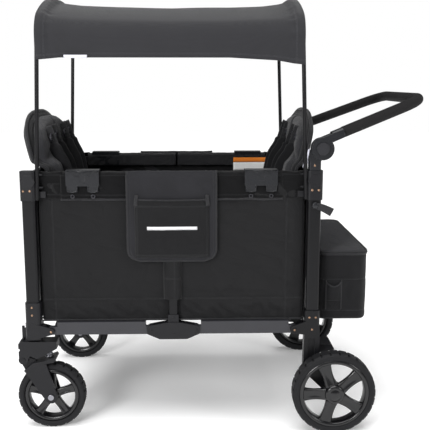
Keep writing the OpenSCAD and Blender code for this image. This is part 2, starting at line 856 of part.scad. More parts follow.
// Rim with five spokes: a bored hub, an outer band and blades between them
module rim(x, y, z, r, half, hub_half_w, hub_rr, bore, first) {
    difference() {
        union() {
            difference() {
                cyl_y(x, y - half, y + half, z, r);
                cyl_y(x, y - half - 1, y + half + 1, z, r - 6);
            }
            cyl_y(x, y - hub_half_w, y + hub_half_w, z, hub_rr);
            for (i = [0:4]) translate([x, y, z]) rotate([0, -first - 72 * i, 0])
                translate([hub_rr - 4, -half + 5, 0])
                    rotate([-90, 0, 0]) linear_extrude(2 * half - 10)
                        polygon([[0, -9], [r - hub_rr - 1, -13], [r - hub_rr - 1, 13], [0, 9]]);
        }
        cyl_y(x, y - 60, y + 60, z, bore);
    }
}

module front_rim(side) {
    color("#333336") sided(side) rim(axle_x, -caster_y, front_wheel_r, front_rim_r,
        front_tyre_w / 2 - 4, hub_half, 17, axle_r + run_gap, -90);
}

module rear_rim(side) {
    cap_y = -rear_y - rear_hub_half;
    color("#333336") sided(side) {
        rim(rear_x, -rear_y, rear_wheel_r, rear_rim_r, rear_tyre_w / 2 - 4, rear_hub_half, 26,
            axle_r + run_gap, 104);
        difference() {
            cyl_y(rear_x, cap_y - 8, cap_y, rear_wheel_r, 27);
            cyl_y(rear_x, cap_y - 5, cap_y + 1, rear_wheel_r, 12);
        }
    }
}

// Tyre with a crowned tread and cross grooves
module tyre(x, y, z, r, rim_r, w, grooves) {
    crown = 6;
    translate([x, y, z]) rotate([90, 0, 0]) difference() {
        rotate_extrude($fn = 96) polygon([[rim_r, -w / 2 + 3], [rim_r + 4, -w / 2],
            [r - crown, -w / 2], [r, -w / 2 + crown], [r, w / 2 - crown], [r - crown, w / 2],
            [rim_r + 4, w / 2], [rim_r, w / 2 - 3]]);
        for (i = [0:grooves - 1]) rotate([0, 0, (i + 0.5) * 360 / grooves]) for (s = [-1, 1])
            translate([r - 3, -2.5, s > 0 ? 5 : -w / 2 - 1]) cube([10, 5, w / 2 - 4]);
    }
}

module front_tyre(side) {
    color("#252527") sided(side) tyre(axle_x, -caster_y, front_wheel_r, front_wheel_r,
        front_rim_r, front_tyre_w, 24);
}

module rear_tyre(side) {
    color("#252527") sided(side) tyre(rear_x, -rear_y, rear_wheel_r, rear_wheel_r, rear_rim_r,
        rear_tyre_w, 28);
}

module swivel_lock(side) {
    x = caster_x - head_back;
    color("#55585d") sided(side) {
        block(x - 2, x + 7, -caster_y - 4, -caster_y + 4, head_top - 25, head_top - 11);
        block(x - 7, x - 2, -caster_y - 8, -caster_y + 8, head_top - 25, head_top - 11);
    }
}

module caster_head_left() { caster_head(-1); }
module caster_head_right() { caster_head(1); }
module caster_fork_left() { caster_fork(-1); }
module caster_fork_right() { caster_fork(1); }
module caster_spring_left() { caster_spring(-1); }
module caster_spring_right() { caster_spring(1); }
module front_axle_left() { front_axle(-1); }
module front_axle_right() { front_axle(1); }
module front_rim_left() { front_rim(-1); }
module front_rim_right() { front_rim(1); }
module front_tyre_left() { front_tyre(-1); }
module front_tyre_right() { front_tyre(1); }
module rear_rim_left() { rear_rim(-1); }
module rear_rim_right() { rear_rim(1); }
module rear_tyre_left() { rear_tyre(-1); }
module rear_tyre_right() { rear_tyre(1); }
module swivel_lock_left() { swivel_lock(-1); }
module swivel_lock_right() { swivel_lock(1); }

module rear_axle() {
    end = rear_y + rear_hub_half + 4;
    color("#6a6a6e") placed() {
        cyl_y(rear_x, -end, end, rear_wheel_r, axle_r);
        both_sides() cyl_y(rear_x, -rear_y + rear_hub_half + side_gap, -bracket_out,
            rear_wheel_r, 11);
    }
}

// ---- folding linkage

// Lower rails of one end: a beam on each side with an eye at each end
module lower_rails(side) {
    inner = plate_pivot;
    color("#2e2e31") placed() both_sides() difference() {
        union() {
            block(side > 0 ? inner + 14 : -link_x + 16, side > 0 ? link_x - 16 : -inner - 14,
                -lower_out, -lower_in, rail_low, rail_top);
            link(side > 0 ? inner : -link_x, side > 0 ? link_x : -inner, lower_pivot_z, 22,
                -lower_out, -lower_in);
        }
        for (x = [inner, link_x])
            cyl_y(side * x, -lower_out - 1, -lower_in + 1, lower_pivot_z, pin_r + run_gap);
    }
}

module lower_front_rails() {
    lower_rails(-1);
}

module lower_rear_rails() {
    lower_rails(1);
}

module upper_rails(side) {
    color("#2e2e31") placed() both_sides() difference() {
        link(side > 0 ? plate_pivot : -link_x, side > 0 ? link_x : -plate_pivot, upper_z,
            upper_h, -upper_out, -upper_in);
        for (x = [plate_pivot, link_x])
            cyl_y(side * x, -upper_out - 1, -upper_in + 1, upper_z, pin_r + run_gap);
    }
}

module upper_front_rails() {
    upper_rails(-1);
}

module upper_rear_rails() {
    upper_rails(1);
}

// Clip that clamps the rim on an upper rail, with two lugs below
module rail_clip(side) {
    x0 = side > 0 ? post_x - clip_inset - clip_len : -post_x + clip_inset;
    x1 = x0 + clip_len;
    color("#55585d") placed() both_sides() {
        block(x0, x1, -flap_out - 5, -flap_out - soft_gap, rim_z - 38, rim_z + 5);
        block(x0, x1, -flap_out - 5, -rim_in + 4, rim_z + soft_gap, rim_z + 5);
        block(x0, x1, -rim_in + soft_gap, -rim_in + 4, rim_z - 38, rim_z + 5);
        for (x = [x0 + 3, x1 - 31])
            block(x, x + 28, -flap_out - 4, -flap_out - soft_gap, rim_z - 54, rim_z - 37);
    }
}

module front_rail_clips() {
    rail_clip(-1);
}

module rear_rail_clips() {
    rail_clip(1);
}

module centre_posts() {
    color("#2e2e31") placed() both_sides()
        block(-centre_w / 2, centre_w / 2, -centre_in - centre_t, -centre_in, centre_low,
            centre_top);
}

// Hinge plates at the foot and head of the centre posts, their pins and the bar across
module hinge_plates() {
    outline = [[-plate_pivot - 12, lower_pivot_z + 8], [-plate_pivot - 4, lower_pivot_z + 13],
        [-20, rail_top - 2], [20, rail_top - 2], [plate_pivot + 4, lower_pivot_z + 13],
        [plate_pivot + 12, lower_pivot_z + 8], [plate_pivot + 10, lower_pivot_z - 10],
        [38, lower_pivot_z - 25], [-38, lower_pivot_z - 25],
        [-plate_pivot - 10, lower_pivot_z - 10]];
    color("#333336") placed() {
        both_sides() {
            plate(outline, -lower_out - side_gap - plate_t, -lower_out - side_gap);
            plate(outline, -lower_in + side_gap, -lower_in + side_gap + plate_t);
            // web between the plates, and the socket of the centre post
            block(-20, 20, -lower_out - side_gap, -lower_in + side_gap, lower_pivot_z - 24,
                centre_low);
            difference() {
                block(-14.5, 14.5, -centre_in - centre_t - 2, -centre_in, centre_low,
                    rail_top + 20);
                block(-centre_w / 2, centre_w / 2, -centre_in - centre_t, -centre_in + 1,
                    centre_low, rail_top + 30);
            }
            for (x = [-plate_pivot, plate_pivot]) {
                cyl_y(x, -lower_out - side_gap - plate_t - 1, -lower_in + side_gap + plate_t + 1,
                    lower_pivot_z, pin_r);
                cyl_y(x, -centre_in, -upper_in + 2, upper_z, pin_r);
                rivet_head(x, -lower_out - side_gap - plate_t - 1, lower_pivot_z);
            }
            rivet_head(0, -lower_out - side_gap - plate_t, lower_pivot_z - 10);
            rivet_head(0, -centre_in - centre_t - 2, rail_top + 11);
            // plate that carries the upper rails' pins
            link(-plate_pivot, plate_pivot, upper_z, upper_h - 2, -centre_in, -ear_in);
        }
        translate([0, 0, lower_pivot_z - 12]) rotate([90, 0, 0])
            cylinder(h = 2 * (lower_in - side_gap - plate_t), r = 10, center = true);
    }
}

// Flap that hangs over the rim at the middle, with a pouch on it
module side_pockets() {
    back = centre_in + centre_t + 0.5;
    out = back + 13;
    color("#232326") placed() both_sides() difference() {
        union() {
            block(-121, 118, -back - 4, -back, 481, rim_z + 4);
            block(-101, 99, -out, -back - 3, 490, 634);
        }
        block(-98, 96, -out + 2, -back - 4, 493, 650);
    }
}

// Padded board on the lower rails of one end
module floor_board(side) {
    color("#2a2a2e") placed()
        block(side > 0 ? board_gap / 2 : -board_end, side > 0 ? board_end : -board_gap / 2,
            -lower_in + 3, lower_in - 3, board_z, floor_z);
    color("#2e2e31") placed() for (x = [board_end - 30, 110])
        block(side * x - 12, side * x + 12, -lower_in, lower_in, board_z - 14, board_z);
}

module floor_board_front() {
    floor_board(-1);
}

module floor_board_rear() {
    floor_board(1);
}

// ---- brake and hook

module brake_pedal() {
    color("#2f2f33") placed() {
        cyl_y(pedal_x, -post_y + 6, post_y - 6, pedal_z, pedal_r);
        both_sides() plate([[pedal_x - 4, pedal_z + 9], [post_x + 61, pedal_z + 8],
            [post_x + 70, pedal_z - 7], [pedal_x + 8, pedal_z - 16], [pedal_x - 6, pedal_z - 8]],
            -bracket_out + 30, -bracket_out + 96);
    }
}

module fold_hook() {
    color("#242427") placed() difference() {
        union() {
            cyl_y(post_x, -hook_out, -post_out - side_gap, hook_z, 9);
            translate([post_x, 0, hook_z]) rotate([0, 22, 0])
                block(0, 48, -hook_out, -post_out - side_gap, -8, 8);
        }
        cyl_y(post_x, -hook_out - 1, -post_out, hook_z, hook_pin_r + run_gap);
    }
}

front_posts();
front_top_brackets();
front_foot_brackets();
front_crossbars();
front_fasteners();
canopy_front_arch();
canopy_cover();
tub_sides();
tub_front_end();
tub_rear_end();
front_seat_back();
front_seat_base();
rear_posts();
rear_top_brackets();
rear_legs();
rear_crossbars();
rear_axle();
rear_fasteners();
handle_mounts();
basket_body();
basket_lid();
canopy_rear_arch();
rear_seat_back();
rear_seat_base();
handle_tube();
handle_grip();
handle_sockets();
handle_button_left();
handle_button_right();
caster_head_left();
caster_head_right();
caster_fork_left();
caster_fork_right();
caster_spring_left();
caster_spring_right();
front_axle_left();
front_axle_right();
front_rim_left();
front_rim_right();
front_tyre_left();
front_tyre_right();
rear_rim_left();
rear_rim_right();
rear_tyre_left();
rear_tyre_right();
swivel_lock_left();
swivel_lock_right();
lower_front_rails();
lower_rear_rails();
upper_front_rails();
upper_rear_rails();
front_rail_clips();
rear_rail_clips();
centre_posts();
hinge_plates();
side_pockets();
floor_board_front();
floor_board_rear();
brake_pedal();
fold_hook();
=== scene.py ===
from math import atan2, copysign, cos, exp, hypot, pi, radians, sin, sqrt
import bpy
import bmesh
import numpy as np
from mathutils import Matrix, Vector, noise


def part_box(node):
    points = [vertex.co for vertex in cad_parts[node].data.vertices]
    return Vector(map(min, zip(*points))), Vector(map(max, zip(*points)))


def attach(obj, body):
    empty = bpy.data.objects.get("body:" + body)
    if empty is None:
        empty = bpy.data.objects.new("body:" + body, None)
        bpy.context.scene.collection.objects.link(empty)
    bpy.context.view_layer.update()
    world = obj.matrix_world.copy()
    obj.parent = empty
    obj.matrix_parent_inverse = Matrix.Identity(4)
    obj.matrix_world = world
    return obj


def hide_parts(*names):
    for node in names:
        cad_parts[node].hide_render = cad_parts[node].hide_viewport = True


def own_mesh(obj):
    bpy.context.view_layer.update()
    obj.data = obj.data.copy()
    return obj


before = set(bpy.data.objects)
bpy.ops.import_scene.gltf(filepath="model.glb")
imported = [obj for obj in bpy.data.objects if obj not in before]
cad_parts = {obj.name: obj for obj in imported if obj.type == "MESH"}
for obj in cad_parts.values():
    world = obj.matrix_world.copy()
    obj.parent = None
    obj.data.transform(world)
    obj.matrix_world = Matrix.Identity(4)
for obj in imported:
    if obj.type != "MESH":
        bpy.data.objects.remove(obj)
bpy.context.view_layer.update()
print("frame loaded,", len(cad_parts), "parts")

# places are worked out in millimetres from the centre posts, then moved into the frame
centreLow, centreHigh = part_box("centre_posts")
midX = (centreLow.x + centreHigh.x) / 2
flanks = ((-1, "Near"), (1, "Far"))
ends = ((-1, "Front"), (1, "Rear"))
endFrame = {-1: "front_frame", 1: "rear_frame"}


def at(x, y, z):
    return Vector((midX + x / 1000, y / 1000, z / 1000))


# ---- shader helpers

def wired(operation, swapped=False):
    def run(self, other):
        return self.finish.math(operation, *((other, self) if swapped else (self, other)))
    return run


class Wire:
    def __init__(self, finish, socket):
        self.finish = finish
        self.socket = socket

    __add__ = __radd__ = wired("ADD")
    __mul__ = __rmul__ = wired("MULTIPLY")
    __sub__, __rsub__ = wired("SUBTRACT"), wired("SUBTRACT", swapped=True)
    __gt__, __lt__ = wired("GREATER_THAN"), wired("LESS_THAN")


class Finish:
    def __init__(self, name, rough=0.5, metal=0.0, **fixed):
        self.made = bpy.data.materials.new(name)
        self.made.use_nodes = True
        self.nodes = self.made.node_tree.nodes
        self.shader = self.nodes["Principled BSDF"]
        self.shader.inputs["Roughness"].default_value = rough
        self.shader.inputs["Metallic"].default_value = metal
        for key, value in fixed.items():
            self.shader.inputs[key.replace("_", " ")].default_value = value

    def put(self, socket, value):
        if isinstance(value, Wire):
            self.made.node_tree.links.new(value.socket, socket)
        else:
            socket.default_value = value

    def node(self, kind, settings=None, values=None, out=0):
        made = self.nodes.new(kind)
        for key, value in (settings or {}).items():
            setattr(made, key, value)
        for key, value in (values or {}).items():
            self.put(made.inputs[key], value)
        return Wire(self, made.outputs[out])

    def math(self, operation, a, b=0.0):
        return self.node("ShaderNodeMath", {"operation": operation}, {0: a, 1: b})

    def mix(self, share, a, b):
        return self.node("ShaderNodeMix", {"data_type": "RGBA"}, {0: share, 6: a, 7: b}, out=2)

    def noise(self, where, scale, detail):
        return self.node("ShaderNodeTexNoise", {}, {"Vector": where, "Scale": scale, "Detail": detail})

    def clamp(self, value):
        return self.node("ShaderNodeClamp", {}, {"Value": value})

    def place(self, kind="Object"):
        return self.node("ShaderNodeTexCoord", {}, {}, out={"Object": 3, "UV": 2}[kind])

    def parts(self, vector):
        made = self.nodes.new("ShaderNodeSeparateXYZ")
        self.put(made.inputs[0], vector)
        return [Wire(self, made.outputs[i]) for i in range(3)]

    def colour(self, value):
        self.put(self.shader.inputs["Base Color"], value)

    def relief(self, height, depth, **more):
        values = dict(Height=height, Distance=depth, Strength=1.0, **more)
        self.put(self.shader.inputs["Normal"], self.node("ShaderNodeBump", {}, values))


def tone(code, gain=1.0):
    parts = [int(code[i:i + 2], 16) / 255 for i in (0, 2, 4)]
    parts = [c / 12.92 if c < 0.04045 else ((c + 0.055) / 1.055) ** 2.4 for c in parts]
    return tuple(min(1.0, c * gain) for c in parts) + (1.0,)


def coated(name, dark, light, rough, grain=900, depth=0.00012, metal=0.0, gloss=0.32):
    # powder coat, moulded plastic, bare metal and paper: fine grain, cloudy colour, edges a little worn and
    # painted lighter as a highlight
    softEdge, squareOn = 0.0012, 0.985
    f = Finish(name, rough, metal, Specular_IOR_Level=0.5 if metal else gloss)
    where = f.place()
    cloud = f.noise(where, 26, 4)
    grains = f.noise(where, grain, 2)
    corner = f.node("ShaderNodeBevel", {"samples": 4}, {"Radius": softEdge})
    flat = f.node("ShaderNodeNewGeometry", {}, {}, out=1)
    bent = f.node("ShaderNodeVectorMath", {"operation": "DOT_PRODUCT"}, {0: corner, 1: flat}, out=1)
    # rounded edges are painted towards a lighter tone: partly edge wear, partly a painted highlight
    wornEdgeAndHighlight = (squareOn - bent) * 5 * (grains * 0.6 + 0.5)
    body = f.mix(cloud * 0.8 + grains * 0.3 - 0.05, tone(dark), tone(light))
    f.colour(f.mix(f.clamp(wornEdgeAndHighlight * 0.5), body, tone(light, 1.7)))
    f.put(f.shader.inputs["Roughness"], grains * 0.14 + cloud * 0.1 + (rough - 0.12))
    f.relief(grains, depth, Normal=corner)
    return f.made


def foamed(name, dark, light, rough, pore=650, depth=0.0005):
    # closed foam: pin-hole pores and scuffed high spots
    f = Finish(name, rough, Specular_IOR_Level=0.25)
    where = f.place()
    cells = f.node("ShaderNodeTexVoronoi", {}, {"Vector": where, "Scale": pore})
    scuff = f.noise(where, 38, 5)
    f.colour(f.mix(scuff * 0.9 + cells * 0.25 - 0.15, tone(dark), tone(light)))
    f.put(f.shader.inputs["Roughness"], cells * 0.2 + scuff * 0.1 + (rough - 0.15))
    f.relief(cells + scuff * 0.5, depth)
    return f.made


def woven(name, dark, light, pitch, rough=0.78, depth=0.00022, seamsU=(), seamsV=(), thread="1d1d21",
          soft=0.1, gloss=0.22):
    # plain weave that holds on any side, broad creases, and rows of stitching where the cloth is sewn
    stitch, threadHalf, dipHalf = 0.0036, 0.00055, 0.0022
    f = Finish(name, rough, Sheen_Weight=soft, Sheen_Roughness=0.45, Specular_IOR_Level=gloss)
    where = f.place()
    turn = 2 * pi / (pitch / 1000)
    x, y, z = f.parts(where)
    warp = f.math("SINE", x * turn) + f.math("SINE", y * turn) + f.math("SINE", z * turn)
    cloud = f.noise(where, 14, 5)
    slub = f.noise(where, 420, 2)
    height = warp * 0.5 + slub * 0.6 + cloud * 0.8
    shade = cloud * 1.1 + slub * 0.45 + warp * 0.07 - 0.32
    base = f.mix(f.clamp(shade), tone(dark), tone(light))
    rows = None
    if seamsU or seamsV:
        u, v, _ = f.parts(f.place("UV"))
        beat = 2 * pi / stitch
        for along, across, lines in ((v, u, seamsU), (u, v, seamsV)):
            for line in lines:
                near = f.math("ABSOLUTE", across - line / 1000)
                row = (near < threadHalf) * (f.math("SINE", along * beat) > -0.45)
                dip = (near < dipHalf) * -2.2
                height = height + dip + row * 4.0
                rows = row if rows is None else rows + row
    if rows is not None:
        base = f.mix(f.clamp(rows), base, tone(thread))
    f.colour(base)
    f.put(f.shader.inputs["Roughness"], slub * 0.12 + cloud * 0.12 + (rough - 0.12))
    f.relief(height, depth)
    return f.made


# slot: its finish, and the parts that wear it, * standing for left and right
finishTable = {
    "frame_tube": (coated("frameCoat", "0b0b0d", "121214", 0.36, gloss=0.2),
                   "front_posts rear_posts front_crossbars rear_crossbars centre_posts canopy_front_arch "
                   "canopy_rear_arch handle_tube rear_legs"),
    "link_rail": (coated("railCoat", "242427", "2f2f34", 0.36, gloss=0.36),
                  "lower_front_rails lower_rear_rails upper_front_rails upper_rear_rails"),
    "moulding": (coated("cornerMoulding", "0f0f12", "17171a", 0.4, grain=1500, depth=0.00016, gloss=0.24),
                 "front_top_brackets rear_top_brackets front_foot_brackets hinge_plates brake_pedal "
                 "fold_hook caster_head_* caster_fork_* swivel_lock_*"),
    "clip_plastic": (coated("clipMoulding", "121316", "1b1c20", 0.28, grain=1300, gloss=0.36),
                     "front_rail_clips rear_rail_clips handle_mounts handle_sockets"),
    "rim_plastic": (coated("wheelMoulding", "08080a", "101012", 0.22, grain=1300, depth=0.00006, gloss=0.45),
                    "front_rim_* rear_rim_*"),
    "button_plastic": (coated("buttonMoulding", "1b1b1e", "28282c", 0.4, grain=1300), "handle_button_*"),
    "rivet_metal": (coated("rivetPlate", "7c6250", "a58770", 0.34, grain=700, metal=1.0),
                    "front_fasteners rear_fasteners"),
    "axle_steel": (coated("axleSteel", "74747a", "a4a4aa", 0.32, grain=600, metal=1.0),
                   "front_axle_* rear_axle caster_spring_*"),
    "tyre_foam": (foamed("tyreFoam", "0d0d0f", "161619", 0.66), "front_tyre_* rear_tyre_*"),
    "grip_foam": (foamed("gripFoam", "100f10", "1a191a", 0.8, pore=900, depth=0.0007), "handle_grip"),
    "floor_board": (coated("boardCover", "202023", "2d2d31", 0.7, grain=1100),
                    "floor_board_front floor_board_rear"),
}
for slotName, (finish, names) in finishTable.items():
    for name in names.split():
        for word in ("left", "right") if "*" in name else ("",):
            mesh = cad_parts[name.replace("*", word)].data
            mesh.materials.clear()
            mesh.materials.append(finish)
print("finishes laid on", len(finishTable), "kinds of parts")


# ---- mesh helpers

def addObject(name, data):
    made = bpy.data.objects.new(name, data)
    bpy.context.collection.objects.link(made)
    return made


def makePiece(name, vertices, faces, finish, uv=None):
    mesh = bpy.data.meshes.new(name)
    mesh.from_pydata([tuple(v) for v in vertices], [], faces)
    if uv is not None:
        layer = mesh.uv_layers.new(name="cloth")
        for loop in mesh.loops:
            layer.data[loop.index].uv = uv[loop.vertex_index]
    mesh.materials.append(finish)
    for polygon in mesh.polygons:
        polygon.use_smooth = True
    return addObject(name, mesh)


def settle(piece):
    # modifiers become part of the mesh
    bpy.context.view_layer.update()
    view = bpy.context.evaluated_depsgraph_get()
    done = bpy.data.meshes.new_from_object(piece.evaluated_get(view))
    piece.modifiers.clear()
    piece.data = done
    return piece


def thicken(piece, thick):
    layer = piece.modifiers.new("layer", "SOLIDIFY")
    layer.thickness = thick / 1000
    layer.offset = 0.0
    layer.use_even_offset = False
    return settle(piece)


def faceOut(piece):
    made = bmesh.new()
    made.from_mesh(piece.data)
    bmesh.ops.recalc_face_normals(made, faces=made.faces)
    made.to_mesh(piece.data)
    made.free()
    return piece


def clothGrid(name, size, step, place, finish, thick):
    # place(u, v) gives millimetres for u and v from 0 to 1; size is the flat cloth in millimetres
    nu = max(2, int(size[0] / step))
    nv = max(2, int(size[1] / step))
    vertices, uv, faces = [], [], []
    for i in range(nu + 1):
        for j in range(nv + 1):
            vertices.append(at(*place(i / nu, j / nv)))
            uv.append((i / nu * size[0] / 1000, j / nv * size[1] / 1000))
    for i in range(nu):
        for j in range(nv):
            a = i * (nv + 1) + j
            faces.append((a, a + nv + 1, a + nv + 2, a + 1))
    return thicken(makePiece(name, vertices, faces, finish, uv), thick)


def tubeAlong(name, points, radius, finish, sides=10, closed=False, flat=1.0, side=None):
    # a round or flattened tube through points in millimetres
    path = [at(*p) for p in points]
    count = len(path)
    vertices, faces = [], []
    up = Vector(side) if side else None
    last = None
    for i, p in enumerate(path):
        before = path[i - 1] if i or closed else path[0]
        after = path[(i + 1) % count] if i < count - 1 or closed else path[-1]
        ahead = (after - before).normalized()
        if up is not None:
            right = ahead.cross(up).normalized()
        elif last is None:
            right = ahead.orthogonal().normalized()
        else:
            right = (last - ahead * last.dot(ahead)).normalized()
        last = right
        lift = right.cross(ahead).normalized()
        r = (radius(i / (count - 1)) if callable(radius) else radius) / 1000
        for k in range(sides):
            a = 2 * pi * k / sides
            vertices.append(p + right * (r * cos(a)) + lift * (r * flat * sin(a)))
    rings = count if closed else count - 1
    for i in range(rings):
        for k in range(sides):
            a, b = i * sides + k, i * sides + (k + 1) % sides
            c, d = ((i + 1) % count) * sides + (k + 1) % sides, ((i + 1) % count) * sides + k
            faces.append((a, b, c, d))
    if not closed:
        faces.append(tuple(range(sides))[::-1])
        faces.append(tuple((count - 1) * sides + k for k in range(sides)))
    return makePiece(name, vertices, faces, finish)


def join(name, pieces):
    # several meshes as one piece, their finishes kept
    made = bmesh.new()
    kinds = []
    for piece in pieces:
        shift = []
        for m in piece.data.materials:
            if m not in kinds:
                kinds.append(m)
            shift.append(kinds.index(m))
        start = len(made.faces)
        made.from_mesh(piece.data)
        made.faces.ensure_lookup_table()
        for face in made.faces[start:]:
            face.material_index = shift[min(face.material_index, len(shift) - 1)]
        bpy.data.objects.remove(piece)
    mesh = bpy.data.meshes.new(name)
    made.to_mesh(mesh)
    made.free()
    for m in kinds:
        mesh.materials.append(m)
    return addObject(name, mesh)


def ripple(x, y, z=0.0):
    return noise.noise(Vector((x, y, z)))


def fold(x, y, z=0.0):
    # a rounded hollow with a sharp ridge, as in pulled cloth, from 0 to 1
    return 1 - min(1.0, 2.4 * abs(noise.noise(Vector((x, y, z)))))


def bell(value, middle, spread):
    return exp(-((value - middle) / spread) ** 2)


def ease(value, low, high):
    t = min(1.0, max(0.0, (value - low) / (high - low)))
    return t * t * (3 - 2 * t)


def wear(piece, body=None):
    if body:
        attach(piece, body)
    return piece


# ---- camera, floor and light

camera = addObject("camera", bpy.data.cameras.new("camera"))
camera.data.sensor_width = 36
camera.data.lens = 63.244
camera.location = (-0.0696, -2.2971, 0.9622)
camera.rotation_euler = (radians(79.9409), 0, radians(-1.5059))
bpy.context.scene.camera = camera

studio = dict(backdrop=1.0, fill=0.29, sun=2.6, sunSpread=48, front=80, side=26, floorGlow=0.13)
white = (1, 1, 1, 1)
world = bpy.data.worlds.new("studio")
world.use_nodes = True
sky = world.node_tree.nodes["Background"]
cameraRay = world.node_tree.nodes.new("ShaderNodeLightPath")
level = world.node_tree.nodes.new("ShaderNodeMapRange")
level.inputs["To Min"].default_value = studio["fill"]
level.inputs["To Max"].default_value = studio["backdrop"]
world.node_tree.links.new(cameraRay.outputs["Is Camera Ray"], level.inputs["Value"])
world.node_tree.links.new(level.outputs[0], sky.inputs["Strength"])
sky.inputs["Color"].default_value = white
bpy.context.scene.world = world
bpy.context.scene.view_settings.view_transform = "Standard"

floorFinish = Finish("floorPaper", 0.9)
paper = floorFinish.noise(floorFinish.place(), 3, 2)
floorFinish.colour(floorFinish.mix(paper, (0.93, 0.93, 0.93, 1), (0.95, 0.95, 0.95, 1)))
floorFinish.shader.inputs["Emission Color"].default_value = white
floorFinish.shader.inputs["Emission Strength"].default_value = studio["floorGlow"]
floor = makePiece("floor", [(-9, -6, 0), (9, -6, 0), (9, 12, 0), (-9, 12, 0)], [(0, 1, 2, 3)],
                  floorFinish.made)

for lampName, kind, power, size, spot, aim in (
        ("sunLamp", "SUN", studio["sun"], studio["sunSpread"], (-0.5, -0.8, 4.0), (0, 0, 0.2)),
        ("frontLamp", "AREA", studio["front"], 1.1, (-1.7, -2.9, 1.75), (0, 0, 0.6)),
        ("sideLamp", "AREA", studio["side"], 1.0, (2.6, -1.6, 1.5), (0, 0, 0.55))):
    lamp = bpy.data.lights.new(lampName, kind)
    lamp.energy = power
    if kind == "SUN":
        lamp.angle = radians(size)
    else:
        lamp.size = size
    holder = addObject(lampName, lamp)
    holder.location = spot
    holder.rotation_euler = (Vector(aim) - Vector(spot)).to_track_quat("-Z", "Y").to_euler()
print("camera, floor and lamps set")


# ---- canopy

canopy = dict(halfX=349.5, sideY=294, cornerY=234, cornerZ=1077, cornerR=60, crownZ=568.5, crownR=620,
              offset=7.0, farRise=28, step=5.5)
canopyCloth = woven("canopyCloth", "232326", "2a2a2d", pitch=1.3, depth=0.00012, soft=0.15,
                    seamsU=(21, 23.5, 675.5, 678), seamsV=(9, 11.5, 749, 746.5), thread="39393d")
# height of the near hem, and how far the cloth sags inside the arches, along the wagon
hemX = (-349.5, -348, -287, 154, 277, 321, 349.5)
hemZ = (1016, 1016, 1022, 1022, 1015, 1007, 1004)
sagX = (0, 160, 260, 318, 332, 349.5)
sagZ = (26, 23.5, 19, 12.5, 1.6, 0.2)
crownTurn = atan2(canopy["cornerY"], canopy["cornerZ"] - canopy["crownZ"])


def canopyPoint(x, v):
    # a point on the cloth and its outward direction, from the near hem over the top to the far hem
    c = canopy
    cornerR, crownR = c["cornerR"] + c["offset"], c["crownR"] + c["offset"]
    rise = float(np.interp(x, hemX, hemZ))
    side = c["cornerZ"] - rise
    farSide = side - c["farRise"]
    corner = cornerR * (pi / 2 - crownTurn)
    crown = crownR * 2 * crownTurn
    s = v * (side + farSide + 2 * corner + crown)
    if s < side:
        return -c["sideY"] - c["offset"], rise + s, -1.0, 0.0
    s -= side
    if s < corner:
        a = pi - s / cornerR
        middle, r = (-c["cornerY"], c["cornerZ"]), cornerR
    elif s < corner + crown:
        a = pi / 2 + crownTurn - (s - corner) / crownR
        middle, r = (0, c["crownZ"]), crownR
    elif s < 2 * corner + crown:
        a = pi / 2 - crownTurn - (s - corner - crown) / cornerR
        middle, r = (c["cornerY"], c["cornerZ"]), cornerR
    else:
        s -= 2 * corner + crown
        return c["sideY"] + c["offset"], c["cornerZ"] - s, 1.0, 0.0
    return middle[0] + r * cos(a), middle[1] + r * sin(a), cos(a), sin(a)


def canopyPlace(u, v):
    x = (2 * u - 1) * canopy["halfX"]
    y, z, ny, nz = canopyPoint(x, v)
    sag = float(np.interp(abs(x), sagX, sagZ))
    share = 0.35 + 0.65 * ease(z, 1040, 1185)
    pull = 3.0 * bell(abs(x), 322, 13) * ripple(v * 46, x * 0.004, 2.0)
    pull += 1.6 * ripple(x * 0.006, v * 7, 5.0) * (1 - ease(abs(x), 310, 335))
    drop = sag * share - pull
    return x, y - ny * drop, z - nz * drop


canopySheet = clothGrid("canopySheet", (699, 758), canopy["step"], canopyPlace, canopyCloth, thick=1.3)
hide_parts("canopy_cover")
wear(canopySheet, "front_frame")
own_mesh(canopySheet)
print("canopy done")

# ---- tub walls, near and far

wall = dict(halfX=360, low=311, high=692, y=277.3, bandTop=368, keep=0.563, step=4.5, hollow=-3.5, bulge=6.2,
            turnX=352, seams=(-325, 311), pipeY=279.6, pipe=2.6)
tubCloth = woven("tubCloth", "050507", "0d0d0f", pitch=1.6, depth=0.0003, rough=0.5, gloss=0.2,
                 seamsU=(35, 37.5, 671, 668.5), seamsV=(57, 59.5), thread="1b1b1f", soft=0.08)
edgeTape = woven("edgeTape", "101013", "1c1c20", pitch=0.9, depth=0.00025, rough=0.5, gloss=0.35)


